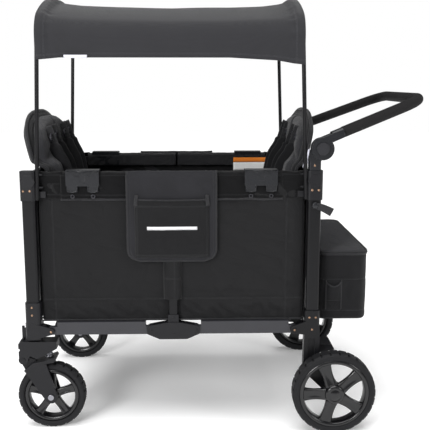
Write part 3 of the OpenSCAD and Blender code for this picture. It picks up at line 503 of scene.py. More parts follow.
def wallPlace(side):
    def place(u, v):
        x = (2 * u - 1) * wall["halfX"]
        z = wall["low"] + v * (wall["high"] - wall["low"])
        seed = 0.0 if side < 0 else 40.0
        loose = ease(z, 372, 430) * (1 - ease(z, 640, 690) * 0.5)
        out = 4.6 * loose * (ripple(x * 0.009, z * 0.006, seed) + 0.2)
        out += 3.0 * loose * fold(x * 0.006 + z * 0.003, z * 0.017 + x * 0.002, seed + 3)
        # folds that hang from the rim and drag from the seams
        out += 3.0 * ease(z, 560, 680) * fold(x * 0.02 + z * 0.012, z * 0.005, seed + 9)
        out += 1.6 * (1 - ease(z, 380, 470)) * fold(x * 0.025, z * 0.012, seed + 21) * ease(z, 368, 380)
        for seam in wall["seams"]:
            out += 2.6 * bell(x, seam, 30) * fold(z * 0.03 + x * 0.02, x * 0.01, seed + 5)
            out -= 1.4 * bell(x, seam, 3)
        band = bell(z, 341, 21)
        out += 6.5 * band * (fold(x * 0.028 + z * 0.02, z * 0.02, seed + 12) - 0.35)
        out += 1.5 * band * ripple(x * 0.09, z * 0.05, seed + 13)
        out -= 2.6 * bell(z, wall["bandTop"], 3.2)
        out += 1.2 * bell(z, 376, 6) * ripple(x * 0.11, 0.0, seed + 15)
        clear = ease(abs(x), 9, 30)
        out = out * clear - 0.8 * (1 - clear)
        out = max(wall["hollow"], min(wall["bulge"], out)) * (1 - 0.85 * ease(abs(x), 325, 350))
        y = wall["y"] + out
        over = abs(x) - wall["turnX"]
        if over > 0:
            # the end turns the corner towards the end wall
            turn = min(pi / 2, over / 8 * pi / 2)
            x = copysign(wall["turnX"] + 9.5 * sin(turn), x)
            y = wall["y"] - 12 * (1 - cos(turn))
        return x, side * y, z
    return place


for side, word in flanks:
    piece = clothGrid("tubWall" + word, (2 * wall["halfX"], wall["high"] - wall["low"]), wall["step"],
                      wallPlace(side), tubCloth, thick=1.6)
    wear(piece, "front_frame")
    if side < 0:
        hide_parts("tub_sides")
    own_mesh(piece)

# piping under the lower band
for side, word in flanks:
    points = [(x, side * (wall["pipeY"] + 0.8 * ripple(x * 0.05, 1.0)),
               wall["low"] - 0.1 + 0.4 * ripple(x * 0.03, 4.0)) for x in range(-358, 359, 6)]
    piece = wear(tubeAlong("lowPiping" + word, points, wall["pipe"], edgeTape), "front_frame")
    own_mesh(piece)
print("tub walls done")

# ---- padded rim over the upper rails

rimPad = dict(gap=3, end=299, low=648, innerLow=682, outY=283.2, inY=250.4, top=722.5, crown=12, bend=15,
              ceiling=724.0, tucks=(-248, -171, -52, 61, 158), pipe=2.9)
# the near rim's cloth is painted darker as shade, and the far rim's copy of it is painted lighter with more sheen,
# as painted light on its inner face
rimCloth = woven("rimCloth", "040405", "0b0b0d", pitch=1.4, rough=0.55, gloss=0.1, depth=0.00028,
                 seamsV=(12, 66))
farRimCloth = woven("farRimCloth", "0e0e11", "1b1b1f", pitch=1.4, rough=0.45, gloss=0.35, depth=0.00028,
                    seamsV=(12, 66), thread="6a6a6e")


def rimWave(x, seed):
    # how far the lower edge wanders up and down
    return 2.2 * ripple(x * 0.022, 3.0, seed)


def rimPlace(x0, x1, seed, side):
    # up the outside, over the crown and down the inside; also gives the length of cloth that takes
    shoulder = rimPad["top"] - rimPad["crown"]
    straight = shoulder - rimPad["low"]
    bend = pi * rimPad["bend"]
    total = straight + bend + shoulder - rimPad["innerLow"]
    half = (rimPad["outY"] - rimPad["inY"]) / 2
    middle = (rimPad["outY"] + rimPad["inY"]) / 2

    def place(u, v):
        x = x0 + (x1 - x0) * u
        s = v * total
        wave = 1.1 * ripple(x * 0.02, 0.0, seed) + 0.8 * ripple(x * 0.06, v * 3, seed + 2)
        if s < straight:
            y, z = rimPad["outY"], rimPad["low"] + s
            y -= 1.3 * bell(s, 12, 3) + 2.4 * fold(x * 0.014 + s * 0.01, s * 0.02, seed + 4) * ease(s, 4, 20)
            z += rimWave(x, seed) * (1 - ease(s, 0, straight))
        elif s < straight + bend:
            a = (s - straight) / bend * pi
            y = middle + half * cos(a)
            z = shoulder + rimPad["crown"] * sin(a) + wave * sin(a)
        else:
            y, z = rimPad["inY"], shoulder - (s - straight - bend)
            y += 3.4 * fold(x * 0.03 + s * 0.03, s * 0.03, seed + 7)
            y += 1.6 * sum(bell(x, k, 2.2) + bell(x, k + 9, 2.2) for k in rimPad["tucks"])
        return x, side * y, min(z, rimPad["ceiling"])
    return place, total


# near sleeves wear the cloth painted darker as shade, far sleeves the copy painted lighter as light
for side, word, seed, cloth in ((-1, "Near", 20.0, rimCloth), (1, "Far", 60.0, farRimCloth)):
    for x0, x1, end, body in ((-rimPad["end"], -rimPad["gap"], "Front", "upper_front_link"),
                              (rimPad["gap"], rimPad["end"], "Rear", "upper_rear_link")):
        place, total = rimPlace(x0, x1, seed, side)
        sleeve = clothGrid("sleeve", (x1 - x0, total), 4.5, place, cloth, thick=1.4)
        lower = [(x, side * (rimPad["outY"] + 0.2), rimPad["low"] + 0.4 + rimWave(x, seed))
                 for x in (x0 + (x1 - x0) * i / 60 for i in range(61))]
        piping = tubeAlong("pipe", lower, rimPad["pipe"], edgeTape)
        piece = wear(join("rimSleeve" + end + word, [sleeve, piping]), body)

# loose cuffs between the sleeves and the corner brackets
cuffSpec = dict(x=296, wide=61, low=650, shoulder=718, tall=95, outY=282.4, topY=275.2, share=0.72,
                ceiling=724.5)
for side, word in flanks:
    for end, tail in ends:
        seed = 7.0 + side * 2 + end

        def cuffPlace(u, v):
            c = cuffSpec
            x = end * (c["x"] + c["wide"] * u)
            if v < c["share"]:
                z = c["low"] + (c["shoulder"] - c["low"]) * v / c["share"]
                y = c["outY"] - 1.4 * fold(x * 0.03 + z * 0.02, z * 0.03, seed) * (1 - 0.6 * ease(z, 700, 718))
            else:
                a = (v - c["share"]) / (1 - c["share"]) * pi * 0.62
                y = c["topY"] + 7.0 * cos(a)
                z = c["shoulder"] + 6.0 * sin(a)
            z += 1.2 * ripple(x * 0.05, v, seed + 3) - 2.2 * bell(u, 0.55, 0.25) * ease(v, 0.6, 0.8)
            return x, side * y, min(z, c["ceiling"])

        # the cuffs wear the rim cloth that is painted darker as shade
        cuff = clothGrid("cuff" + tail + word, (cuffSpec["wide"], cuffSpec["tall"]), 3.4, cuffPlace, rimCloth,
                         thick=1.2)
        wear(cuff, endFrame[end])
        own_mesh(cuff)
print("rim done")

# ---- side pockets over the centre posts

pocket = dict(x0=-121, x1=118, low=481, top=726, corner=32, y=294.3, outmost=296.5, ceiling=727, pouchX0=-101,
              pouchX1=99, pouchLow=491, pouchTop=650, bulge=8.4, pouchOut=306.4, tape=3.0, brim=2.2,
              stripe=(-68, 67, 568, 9))
postSleeve = dict(x=-26, wide=50, low=371, tall=113, y=281.5, round=11.2)
pocketCloth = woven("pocketCloth", "17171a", "252529", pitch=1.3, depth=0.00026, seamsU=(7, 232), seamsV=(7,))
pouchCloth = woven("pouchCloth", "08080a", "131315", pitch=1.3, depth=0.00026, seamsU=(6, 194),
                   seamsV=(6, 139, 141.5))
markPrint = coated("markPrint", "c9c9cc", "dededf", 0.55, grain=1800, depth=0.00005)


def pocketHalf(z):
    # how much narrower the panel is near its round lower corners
    deep = pocket["corner"] - min(pocket["corner"], max(0.0, z - pocket["low"]))
    return pocket["corner"] - sqrt(max(0.0, pocket["corner"] ** 2 - deep ** 2))


for side, word in flanks:
    seed = 80.0 + side

    def panelPlace(u, v):
        z = pocket["low"] + v * (pocket["top"] - pocket["low"])
        cut = pocketHalf(z)
        x = pocket["x0"] + cut + u * (pocket["x1"] - pocket["x0"] - 2 * cut)
        y = pocket["y"]
        high = ease(z, 640, 700)
        y += 1.6 * high * ripple(x * 0.05 + z * 0.03, z * 0.012, seed) - 0.6
        y += 1.2 * high * ripple(x * 0.02 - z * 0.05, z * 0.02, seed + 4)
        y -= 7.5 * ease(z, 708, 726) ** 2
        z += 1.2 * high * ripple(x * 0.03, 2.0, seed + 1)
        return x, side * min(y, pocket["outmost"]), min(z, pocket["ceiling"])

    def pouchPlace(u, v):
        x = pocket["pouchX0"] + u * (pocket["pouchX1"] - pocket["pouchX0"])
        z = pocket["pouchLow"] + v * (pocket["pouchTop"] - pocket["pouchLow"])
        full = (1 - abs(2 * u - 1) ** 5) * min(1.0, v * 7) ** 0.6 * (1 - 0.45 * ease(v, 0.6, 1))
        y = pocket["y"] + 2.2 + pocket["bulge"] * full * (0.82 + 0.5 * ripple(x * 0.016, z * 0.02, seed + 7))
        y += 1.0 * full * ripple(x * 0.05, z * 0.05, seed + 9)
        y -= 1.1 * bell(z, 632, 2.6)
        z -= 2.2 * (1 - (2 * u - 1) ** 2) * ease(v, 0.8, 1)
        return x, side * min(y, pocket["pouchOut"]), z

    panel = clothGrid("panel", (239, 245), 4.2, panelPlace, pocketCloth, thick=3.0)
    pouch = clothGrid("pouch", (200, 159), 3.6, pouchPlace, pouchCloth, thick=1.8)
    outline = [panelPlace(0, 1 - i / 30) for i in range(31)]
    outline += [panelPlace(i / 30, 0) for i in range(1, 30)] + [panelPlace(1, i / 30) for i in range(31)]
    tape = tubeAlong("tape", outline, pocket["tape"], edgeTape, flat=0.72, side=(0, 1, 0))
    brim = tubeAlong("brim", [pouchPlace(i / 40, 1) for i in range(41)], pocket["brim"], edgeTape)
    piece = join("sidePocket" + word, [panel, pouch, tape, brim])
    wear(piece, "centre")
    if side < 0:
        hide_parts("side_pockets")
        # the plain stripe lies on the pouch
        stripeX0, stripeX1, stripeZ, stripeTall = pocket["stripe"]
        vertices = []
        for i in range(31):
            for high in (0, 1):
                x = stripeX0 + (stripeX1 - stripeX0) * i / 30
                z = stripeZ + stripeTall * high
                v = (z - pocket["pouchLow"]) / (pocket["pouchTop"] - pocket["pouchLow"])
                u = (x - pocket["pouchX0"]) / (pocket["pouchX1"] - pocket["pouchX0"])
                px, py, pz = pouchPlace(u, v)
                vertices.append(at(px, py - 1.25, pz))
        faces = [(2 * i, 2 * i + 2, 2 * i + 3, 2 * i + 1) for i in range(30)]
        wear(thicken(makePiece("plainStripe", vertices, faces, markPrint), 0.5), "centre")
    for letter, ex, splay in (("A", pocket["pouchX0"] + 6, -3), ("B", pocket["pouchX1"] - 6, 3)):
        hang = [(ex, side * 299.5, 662), (ex + splay * 0.3, side * 300.6, 652), (ex + splay, side * 301, 634)]
        pull = tubeAlong("pocketPull" + word + letter, hang, lambda t: 4.2 + 1.2 * t, edgeTape, flat=0.4,
                         side=(0, 1, 0))
        wear(pull, "centre")

    # cloth sleeve over the centre post
    def sleevePlace(u, v):
        x = postSleeve["x"] + postSleeve["wide"] * u
        z = postSleeve["low"] + postSleeve["tall"] * v
        y = postSleeve["y"] + postSleeve["round"] * (1 - abs(2 * u - 1) ** 3) ** 0.7
        return x, side * (y + 0.7 * ripple(x * 0.06, z * 0.04, seed + 11)), z

    sleeve = clothGrid("postSleeve" + word, (60, postSleeve["tall"]), 3.2, sleevePlace, tubCloth, thick=1.2)
    wear(sleeve, "centre")
print("pockets done")

# ---- end walls of the tub

endWall = dict(x=363, half=267.5, low=312, high=726, corner=11.5, hem=3.4, lowTape=2.2)
for end, word in ends:
    def endPlace(u, v):
        y = (2 * u - 1) * endWall["half"]
        z = endWall["low"] + v * (endWall["high"] - endWall["low"])
        inward = 2.2 * ripple(y * 0.01, z * 0.008, 30.0 + end)
        inward += 1.6 * ripple(y * 0.03 + z * 0.02, z * 0.03, 34.0)
        inward += 1.4 * bell(z, 341, 20) * ripple(y * 0.05, z * 0.02, 36.0) + 1.2 * bell(z, wall["bandTop"], 3)
        inward = max(-1.6, inward + 0.8) * (1 - 0.8 * ease(abs(y), 225, 245))
        # it bulges past the post, so no light shows at the corner
        inward -= endWall["corner"] * bell(abs(y), 254, 11)
        return end * (endWall["x"] - inward), y, z

    panel = clothGrid("panel", (535, 409), 5.5, endPlace, tubCloth, thick=1.6)
    hemLine = [(end * 362.6, y, endWall["high"] + 0.5 + 1.2 * ripple(y * 0.03, 1.0))
               for y in range(-267, 268, 6)]
    hem = tubeAlong("hem", hemLine, endWall["hem"], edgeTape)
    lowLine = [(end * endWall["x"], y, endWall["low"] + 1) for y in range(-266, 267, 7)]
    lowTape = tubeAlong("low", lowLine, endWall["lowTape"], edgeTape)
    piece = join("tubEnd" + word, [panel, hem, lowTape])
    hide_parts("tub_front_end" if end < 0 else "tub_rear_end")
    wear(piece, endFrame[end])
print("end walls done")

# ---- padded seats, floor mats

def padShell(name, width, height, corner, thick, place, finish, rim, step=9):
    # a closed pad: two crowned faces that meet at a rounded outline; place(a, b, t) gives millimetres
    power = 2.4
    n = int(width / step)
    m = int(height / step)
    index, vertices, faces = {}, [], []

    def spot(i, j, face):
        u, v = 2 * i / n - 1, 2 * j / m - 1
        edge = max(abs(u), abs(v))
        key = (i, j, face if edge < 1 - 1e-9 else 0)
        if key in index:
            return index[key]
        a, b = u * width / 2, v * height / 2
        if edge > 1e-6:
            # pull the corners in to the round outline
            oa, ob = abs(a / edge), abs(b / edge)
            da, db = oa - (width / 2 - corner), ob - (height / 2 - corner)
            if da > 0 and db > 0:
                over = hypot(da, db)
                pa = width / 2 - corner + da * corner / over
                pb = height / 2 - corner + db * corner / over
                a *= 1 + (pa / oa - 1) * edge ** 6
                b *= 1 + (pb / ob - 1) * edge ** 6
        t = thick / 2 * (1 - min(1.0, max(0.0, edge - (1 - rim)) / rim) ** power) ** (1 / power)
        index[key] = len(vertices)
        vertices.append(at(*place(a, b, t * face)))
        return index[key]

    for i in range(n):
        for j in range(m):
            for face in (-1, 1):
                ring = [spot(i + di, j + dj, face) for di, dj in ((0, 0), (1, 0), (1, 1), (0, 1))]
                ring = list(dict.fromkeys(ring))
                if len(ring) > 2:
                    faces.append(tuple(ring if face > 0 else ring[::-1]))
    return faceOut(makePiece(name, vertices, faces, finish))


def smoothPad(piece):
    smooth = piece.modifiers.new("smooth", "SUBSURF")
    smooth.levels = 1
    settle(piece)
    for polygon in piece.data.polygons:
        polygon.use_smooth = True
    return piece


filling = dict(voxel=0.006, pressure=4.0, quality=4, frames=20)


def swell(piece, cap):
    # the pad is filled like a real cushion, no point moving further than the cap in millimetres
    remesh = piece.modifiers.new("remesh", "REMESH")
    remesh.mode = "VOXEL"
    remesh.voxel_size = filling["voxel"]
    settle(piece)
    before = np.array([v.co for v in piece.data.vertices])
    filled = piece.modifiers.new("filled", "CLOTH")
    filled.settings.use_pressure = True
    filled.settings.uniform_pressure_force = filling["pressure"]
    filled.settings.effector_weights.gravity = 0
    filled.settings.quality = filling["quality"]
    filled.point_cache.frame_start = 1
    filled.point_cache.frame_end = filling["frames"]
    for step in range(1, filling["frames"] + 1):
        bpy.context.scene.frame_set(step)
    settle(piece)
    bpy.context.scene.frame_set(1)
    after = np.array([v.co for v in piece.data.vertices])
    move = after - before
    length = np.linalg.norm(move, axis=1, keepdims=True)
    move *= np.minimum(1.0, cap / 1000 / np.maximum(length, 1e-9))
    for v, co in zip(piece.data.vertices, before + move):
        v.co = co
    return smoothPad(piece)


seat = dict(x=296, z=560, lean=13, width=458, height=326, shell=24, cushion=44, corner=30, arch=82, crown=24,
            binding=5.0, strap=36, strapY=(-150, -70, 70, 150), cap=6,
            Front=dict(shellShift=32, padShift=22, face=0), Rear=dict(shellShift=13, padShift=17, face=9))
# a and b are a pad's width and depth, z its middle height
seatPad = dict(mid=seat["x"] - 83, a=182, b=526, corner=26, thick=36, z=521.7, cap=5)
floorMat = dict(mid=152, a=286, b=532, corner=14, thick=7.4, z=318.4)
seatCloth = woven("seatCloth", "0e0e10", "19191c", pitch=1.2, depth=0.00028, rough=0.65)
seatFace = woven("seatFace", "1d1d20", "2b2b2f", pitch=1.0, depth=0.0002, rough=0.7, soft=0.2)
webbing = woven("webbing", "121214", "212124", pitch=2.2, depth=0.0005, rough=0.45, gloss=0.4)
buckle = coated("bucklePlastic", "202023", "34343a", 0.3, grain=1500)
lean = radians(seat["lean"])


def seatPoint(end, y, h, t):
    # h runs up the back, t towards the middle of the wagon
    return (end * (seat["x"] - t * cos(lean) + h * sin(lean)), y,
            seat["z"] + t * sin(lean) + h * cos(lean))


def arched(a, b, width, height):
    # the pad's top is one broad arch
    share = min(1.0, max(0.0, (abs(a) - seat["crown"]) / (width / 2 - seat["crown"])))
    drop = seat["arch"] * (1 - sqrt(max(0.0, 1 - share ** 2.3)))
    return -height / 2 + (b + height / 2) * (height - drop) / height


for end, word in ends:
    body = word.lower() + "_seat"
    middle = seat["height"] / 2 + 4

    def backPlace(a, b, t):
        b = arched(a, b, seat["width"], seat["height"])
        h = middle + b
        return seatPoint(end, a, h, -8 - seat[word]["shellShift"] * ease(h, 172, 200) + t)

    def cushionPlace(a, b, t):
        # two crowned places to lean on, a sewn channel between them and one across
        row = 0.42 + 0.58 * min(1.0, abs(a) / 16)
        row *= 0.6 + 0.4 * min(1.0, abs(b - 62) / 12)
        b = arched(a, b, seat["width"] - 22, seat["height"] - 16)
        h = middle + b
        high = ease(h, 120, 240)
        deep = row * (0.62 + 0.3 * high) if t > 0 else 0.4
        return seatPoint(end, a, h, -3 - seat[word]["padShift"] * ease(h, 168, 200) + t * deep)

    shell = padShell("seatShell" + word, seat["width"], seat["height"], seat["corner"], seat["shell"],
                     backPlace, seatCloth, rim=0.08)
    smoothPad(shell)
    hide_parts(word.lower() + "_seat_back")
    wear(shell, body)
    cushion = padShell("seatCushion" + word, seat["width"] - 22, seat["height"] - 16, seat["corner"] - 6,
                       seat["cushion"], cushionPlace, seatFace, rim=0.12)
    swell(cushion, seat["cap"])
    wear(cushion, body)

    # binding round the shell, harness straps with shoulder pads and adjusters
    w, h0, r = seat["width"] / 2 + 1, seat["height"] / 2, seat["corner"]
    ring = [(w * (2 * i / 30 - 1), h0 + 1) for i in range(31)]
    ring += [(w, h0 - 2 * h0 * i / 20) for i in range(1, 20)]
    ring += [(w - 2 * w * i / 30, -h0) for i in range(31)]
    ring += [(-w, -h0 + 2 * h0 * i / 20) for i in range(1, 20)]
    outline = [backPlace(a, b, 0) for a, b in ring]
    wear(tubeAlong("seatBinding" + word, outline, seat["binding"], edgeTape, closed=True), body)
    harness, adjusters = [], []
    for y in seat["strapY"]:
        def strapPlace(h):
            face = 11 - (9 + seat[word]["face"] * 0.5) * ease(h, 160, 215)
            return seatPoint(end, y * (0.82 + 0.18 * ease(h, 60, 260)) + 3 * sin(h / 45 + y), h,
                             face + 3 + 9 * max(0.0, sin(pi * (h - 20) / 262)) ** 0.8)

        harness.append(tubeAlong("strap", [strapPlace(h) for h in range(18, 288, 6)], seat["strap"] / 2 - 4,
                                 webbing, flat=0.1, side=(0, 1, 0)))
        harness.append(tubeAlong("pad", [strapPlace(h) for h in range(104, 236, 4)],
                                 lambda t: 19 * min(1.0, 6 * t + 0.5, 6 * (1 - t) + 0.5), seatCloth, sides=14,
                                 flat=0.3, side=(0, 1, 0)))
        for h in (92, 250):
            cx, cy, cz = strapPlace(h)
            loop = [(cx - end * 1.5, cy + 19 * cos(k * pi / 10), cz + 10 * sin(k * pi / 10))
                    for k in range(20)]
            bridge = [(cx - end * 2, cy - 17, cz), (cx - end * 3, cy, cz), (cx - end * 2, cy + 17, cz)]
            adjusters.append(tubeAlong("adjuster", loop, 2.8, buckle, closed=True))
            adjusters.append(tubeAlong("adjuster", bridge, 2.6, buckle))
    wear(join("harness" + word, harness), body)
    wear(join("adjusters" + word, adjusters), body)

    # seat base cushion, with a sewn channel along the middle
    def basePlace(a, b, t):
        row = 0.55 + 0.45 * min(1.0, abs(b) / 14)
        return end * (seatPad["mid"] + a), b, seatPad["z"] + t * (row if t > 0 else 0.9)

    base = padShell("seatBase" + word, seatPad["a"], seatPad["b"], seatPad["corner"], seatPad["thick"],
                    basePlace, seatCloth, rim=0.12)
    swell(base, seatPad["cap"])
    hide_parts(word.lower() + "_seat_base")
    wear(base, endFrame[end])
    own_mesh(base)

    # floor mat on the board
    def matPlace(a, b, t):
        puff = 0.6 + 0.4 * min(1.0, abs(b) / 9)
        return end * (floorMat["mid"] + a), b, floorMat["z"] + t * (puff if t > 0 else 0.95)

    mat = padShell("floorMat" + word, floorMat["a"], floorMat["b"], floorMat["corner"], floorMat["thick"],
                   matPlace, seatCloth, rim=0.04)
    wear(mat, "lower_front_link" if end < 0 else "lower_rear_link")
print("seats and mats done")

# ---- rear basket and lid

basket = dict(x0=404.5, x1=544.5, half=244, low=293, top=485.5, corner=24, foot=9, sag=4,
              trims=((484, 2.6), (413, 1.5), (322, 1.5)), tabY=(-150, 150))
cupSpec = dict(x=430, wide=41, low=352, tall=52, y=246.5, bulge=5.2, dip=12, dividers=(429, 472.5))
lid = dict(z=490.4, half=246, corner=27, thick=7.6, crown=3.6, pipe=2.2)
basketCloth = woven("basketCloth", "070709", "111114", pitch=1.5, depth=0.00032)
lidCloth = woven("lidCloth", "1a1a1e", "2a2a2e", pitch=1.4, depth=0.0003)
bx, bw = (basket["x0"] + basket["x1"]) / 2, (basket["x1"] - basket["x0"]) / 2
basketFoot = basket["low"] + 3 + basket["foot"]


def roundRing(s, halfX, halfY, r):
    # a point and its outward direction at share s round a rounded rectangle, from the near side's middle
    innerX, innerY = halfX - r, halfY - r
    straights = (2 * innerY, 2 * innerX) * 2
    turn = pi / 2 * r
    corners = ((innerX, innerY), (-innerX, innerY), (-innerX, -innerY), (innerX, -innerY))
    starts = ((halfX, -innerY, 0, 1), (innerX, halfY, -1, 0), (-halfX, innerY, 0, -1), (-innerX, -halfY, 1, 0))
    place = s % 1.0 * (sum(straights) + 4 * turn)
    for number in range(4):
        if place <= straights[number]:
            x, y, dx, dy = starts[number]
            return x + dx * place, y + dy * place, dy, -dx
        place -= straights[number]
        if place <= turn or number == 3:
            break
        place -= turn
    a = number * pi / 2 + place / r
    cx, cy = corners[number]
    return cx + r * cos(a), cy + r * sin(a), cos(a), sin(a)


def basketPlace(u, v):
    # the floor up to a fifth of v, then the round foot, then the wall
    c = basket
    if v < 0.2:
        share = v / 0.2
        x, y, _, _ = roundRing(u, bw - c["foot"], c["half"] - c["foot"], c["corner"] - 12)
        return bx + x * share, y * share, c["low"] + c["sag"] * (share ** 2) * 0.6
    if v < 0.3:
        a = (v - 0.2) / 0.1 * pi / 2
        grow = c["foot"] * (1 - sin(a))
        x, y, _, _ = roundRing(u, bw - grow, c["half"] - grow, c["corner"] - 12 * (1 - sin(a)))
        return bx + x, y, c["low"] + 3 + c["foot"] * (1 - cos(a))
    rise = (v - 0.3) / 0.7
    z = basketFoot + rise * (c["top"] - basketFoot)
    x, y, nx, ny = roundRing(u, bw, c["half"], c["corner"])
    stiff = 1 - 0.65 * bell(x, bw, 14) * bell(abs(y), c["half"], 40)
    out = 2.6 * ripple(x * 0.02 + y * 0.009, z * 0.014, 3.0) + 1.4 * ripple(x * 0.05 - y * 0.03, z * 0.03, 8.0)
    out += 1.6 * sin(pi * rise) - 1.6 * bell(z, 413, 2.6) - 1.2 * bell(z, 322, 3)
    out += 1.2 * bell(z, 372, 24) * ripple(y * 0.03 + x * 0.06, 1.0, 11.0)
    out = max(-4.0, min(3.4, out)) * stiff
    if x < -bw + 4:
        out = min(out, 0.0)
    return bx + x + nx * out, y + ny * out, z


basketWalls = clothGrid("walls", (1230, 300), 5.2, basketPlace, basketCloth, thick=1.8)
trims = []
for z, r in basket["trims"]:
    level = min(1.0, 0.3 + 0.7 * (z - basketFoot) / (basket["top"] - basketFoot))
    trims.append(tubeAlong("trim", [basketPlace(i / 160, level) for i in range(160)], r, edgeTape, closed=True))
tabs = [tubeAlong("tab", [(393.5, y, 470), (399, y, 470.4), (405.5, y, 470)], 14, webbing, flat=0.16,
                  side=(0, 0, 1)) for y in basket["tabY"]]
basketShell = join("basketShell", [basketWalls] + trims + tabs)
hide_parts("basket_body")
wear(basketShell, "rear_frame")

# cup pocket and its dipped mouth, on both ends
for side, word in flanks:
    def cupPlace(u, v):
        c = cupSpec
        x = c["x"] + c["wide"] * u
        dip = c["dip"] * (1 - (2 * u - 1) ** 2) * ease(v, 0.3, 1)
        z = c["low"] + c["tall"] * v - dip * 0.9
        y = c["y"] + c["bulge"] * (1 - abs(2 * u - 1) ** 3.2) * (0.55 + 0.45 * v)
        return x, side * y, z

    cup = clothGrid("cup", (46, cupSpec["tall"]), 3, cupPlace, basketCloth, thick=1.4)
    lip = tubeAlong("lip", [cupPlace(i / 16, 1) for i in range(17)], 1.9, edgeTape)
    dividers = [tubeAlong("divider", [(x, side * 247.2, z) for z in range(326, 414, 6)], 1.5, edgeTape)
                for x in cupSpec["dividers"]]
    cupPocket = join("cupPocket" + word, [cup, lip] + dividers)
    wear(cupPocket, "rear_frame")


def lidPlace(a, b, t):
    crown = lid["crown"] * (1 - (a / 72) ** 2) * (1 - (b / 247) ** 4) + 1.2 * ripple(a * 0.03, b * 0.012, 5.0)
    soft = 1.2 * ripple(a * 0.07 + b * 0.03, b * 0.03, 6.0)
    return bx + 0.5 + a, b, lid["z"] + t + (crown + soft) * (1.0 if t > 0 else 0.2)


lidPad = padShell("lidPad", 2 * bw + 3, 2 * lid["half"], lid["corner"], lid["thick"], lidPlace, lidCloth,
                  step=6, rim=0.05)
rings = []
for z, grow in ((487.6, 1.4), (492.4, 1.0)):
    ring = []
    for i in range(150):
        x, y, _, _ = roundRing(i / 150, bw + grow, lid["half"] - 1 + grow, lid["corner"])
        ring.append((bx + 0.5 + x, y, z + 0.5 * ripple(i * 0.2, z)))
    rings.append(tubeAlong("ring", ring, lid["pipe"], edgeTape, closed=True))
basketLid = join("basketCover", [lidPad] + rings)
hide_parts("basket_lid")
wear(basketLid, "lid")
print("basket done")

# ---- plain labels

label = dict(x=191, wide=134, y=248.6, low=664, bandLow=692, top=708)
labelPaper = coated("labelPaper", "e4e4e2", "f2f2f0", 0.6, depth=0.00004)
labelBand = coated("labelBand", "e0761c", "ee8a2c", 0.55, depth=0.00004)
tagPaper = coated("tagPaper", "cfcfe0", "e6e6f0", 0.65, depth=0.00004)


def labelStrip(name, z0, z1, step, finish):
    def place(u, v):
        x = label["x"] + label["wide"] * u
        z = z0 + (z1 - z0) * v
        return x, label["y"] - 1.2 * ripple(x * 0.03, z * 0.03, 2.0) + 1.5 * ease(x, 296, 325), z
    return clothGrid(name, (label["wide"], z1 - z0), step, place, finish, thick=0.5)


wallLabel = join("wallLabel", [labelStrip("paper", label["low"], label["bandLow"], 6, labelPaper),
                               labelStrip("band", label["bandLow"], label["top"], 5, labelBand)])
wear(wallLabel, "upper_rear_link")
canopyTag = clothGrid("canopyTag", (60, 8), 4, lambda u, v: (-275 + 60 * u, -304.2 - 0.2 * v, 1020.5 + 8 * v),
                      tagPaper, thick=0.4)
wear(canopyTag, "front_frame")
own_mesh(canopyTag)
seatTag = clothGrid("seatTag", (14, 52), 4,
                    lambda u, v: seatPoint(1, -231.5 - 0.5 * v, 178 + 52 * v, -34 + 12 * u), tagPaper, thick=0.5)
wear(seatTag, "rear_seat")
print("labels done")

# ---- wheels: dished spokes, rim and hub cap

wheelSpecs = dict(front=dict(rim=77, half=17, hub=19, cap=18, spoke=12, first=90), rear=dict(rim=97.5, half=18,
                  hub=27, cap=27, spoke=17, first=110))
spokeSpec = dict(count=5, rows=14, cols=8, dish=5.5, roll=5.0, deep=9)


def turned(profile, turns=72):
    # a profile of (radius, depth) swept round the wheel's axle
    vertices, faces = [], []
    n = len(profile)
    for i in range(turns):
        turn = 2 * pi * i / turns
        vertices += [(r * cos(turn), d, r * sin(turn)) for r, d in profile]
        for k in range(n - 1):
            a, b = i * n + k, ((i + 1) % turns) * n + k
            faces.append((a, b, b + 1, a + 1))
    return vertices, faces


def spokeMesh(spec, turn):
    # a dished face that widens to the rim, and the same face again behind it
    r, w, hub, cap = spec["rim"], spec["half"], spec["hub"], spec["cap"]
    rows, cols = spokeSpec["rows"], spokeSpec["cols"]
    vertices, faces = [], []
    for i in range(rows + 1):
        t = i / rows
        reach = hub * 0.9 + (r - 12 - hub * 0.9) * t
        half = spec["spoke"] * (1.0 - 0.75 * t + 0.9 * t * t)
        for j in range(cols + 1):
            s = 2 * j / cols - 1
            dish = -spokeSpec["dish"] * (1 - s * s) * (0.35 + 0.65 * sin(pi * t))
            face = cap - 7 + (w - 4 - cap + 7) * t
            roll = -spokeSpec["roll"] * abs(s) ** 8
            vertices.append((reach * cos(turn) - half * s * sin(turn), face + dish + roll,
                             reach * sin(turn) + half * s * cos(turn)))
    n, count = cols + 1, len(vertices)
    vertices += [(x, y - spokeSpec["deep"], z) for x, y, z in vertices]
    for i in range(rows):
        for j in range(cols):
            a = i * n + j
            faces.append((a, a + n, a + n + 1, a + 1))
            faces.append((a + count, a + count + 1, a + count + n + 1, a + count + n))
        for j in (0, cols):
            a = i * n + j
            faces.append((a, a + n, a + n + count, a + count) if j else (a, a + count, a + n + count, a + n))
    return vertices, faces


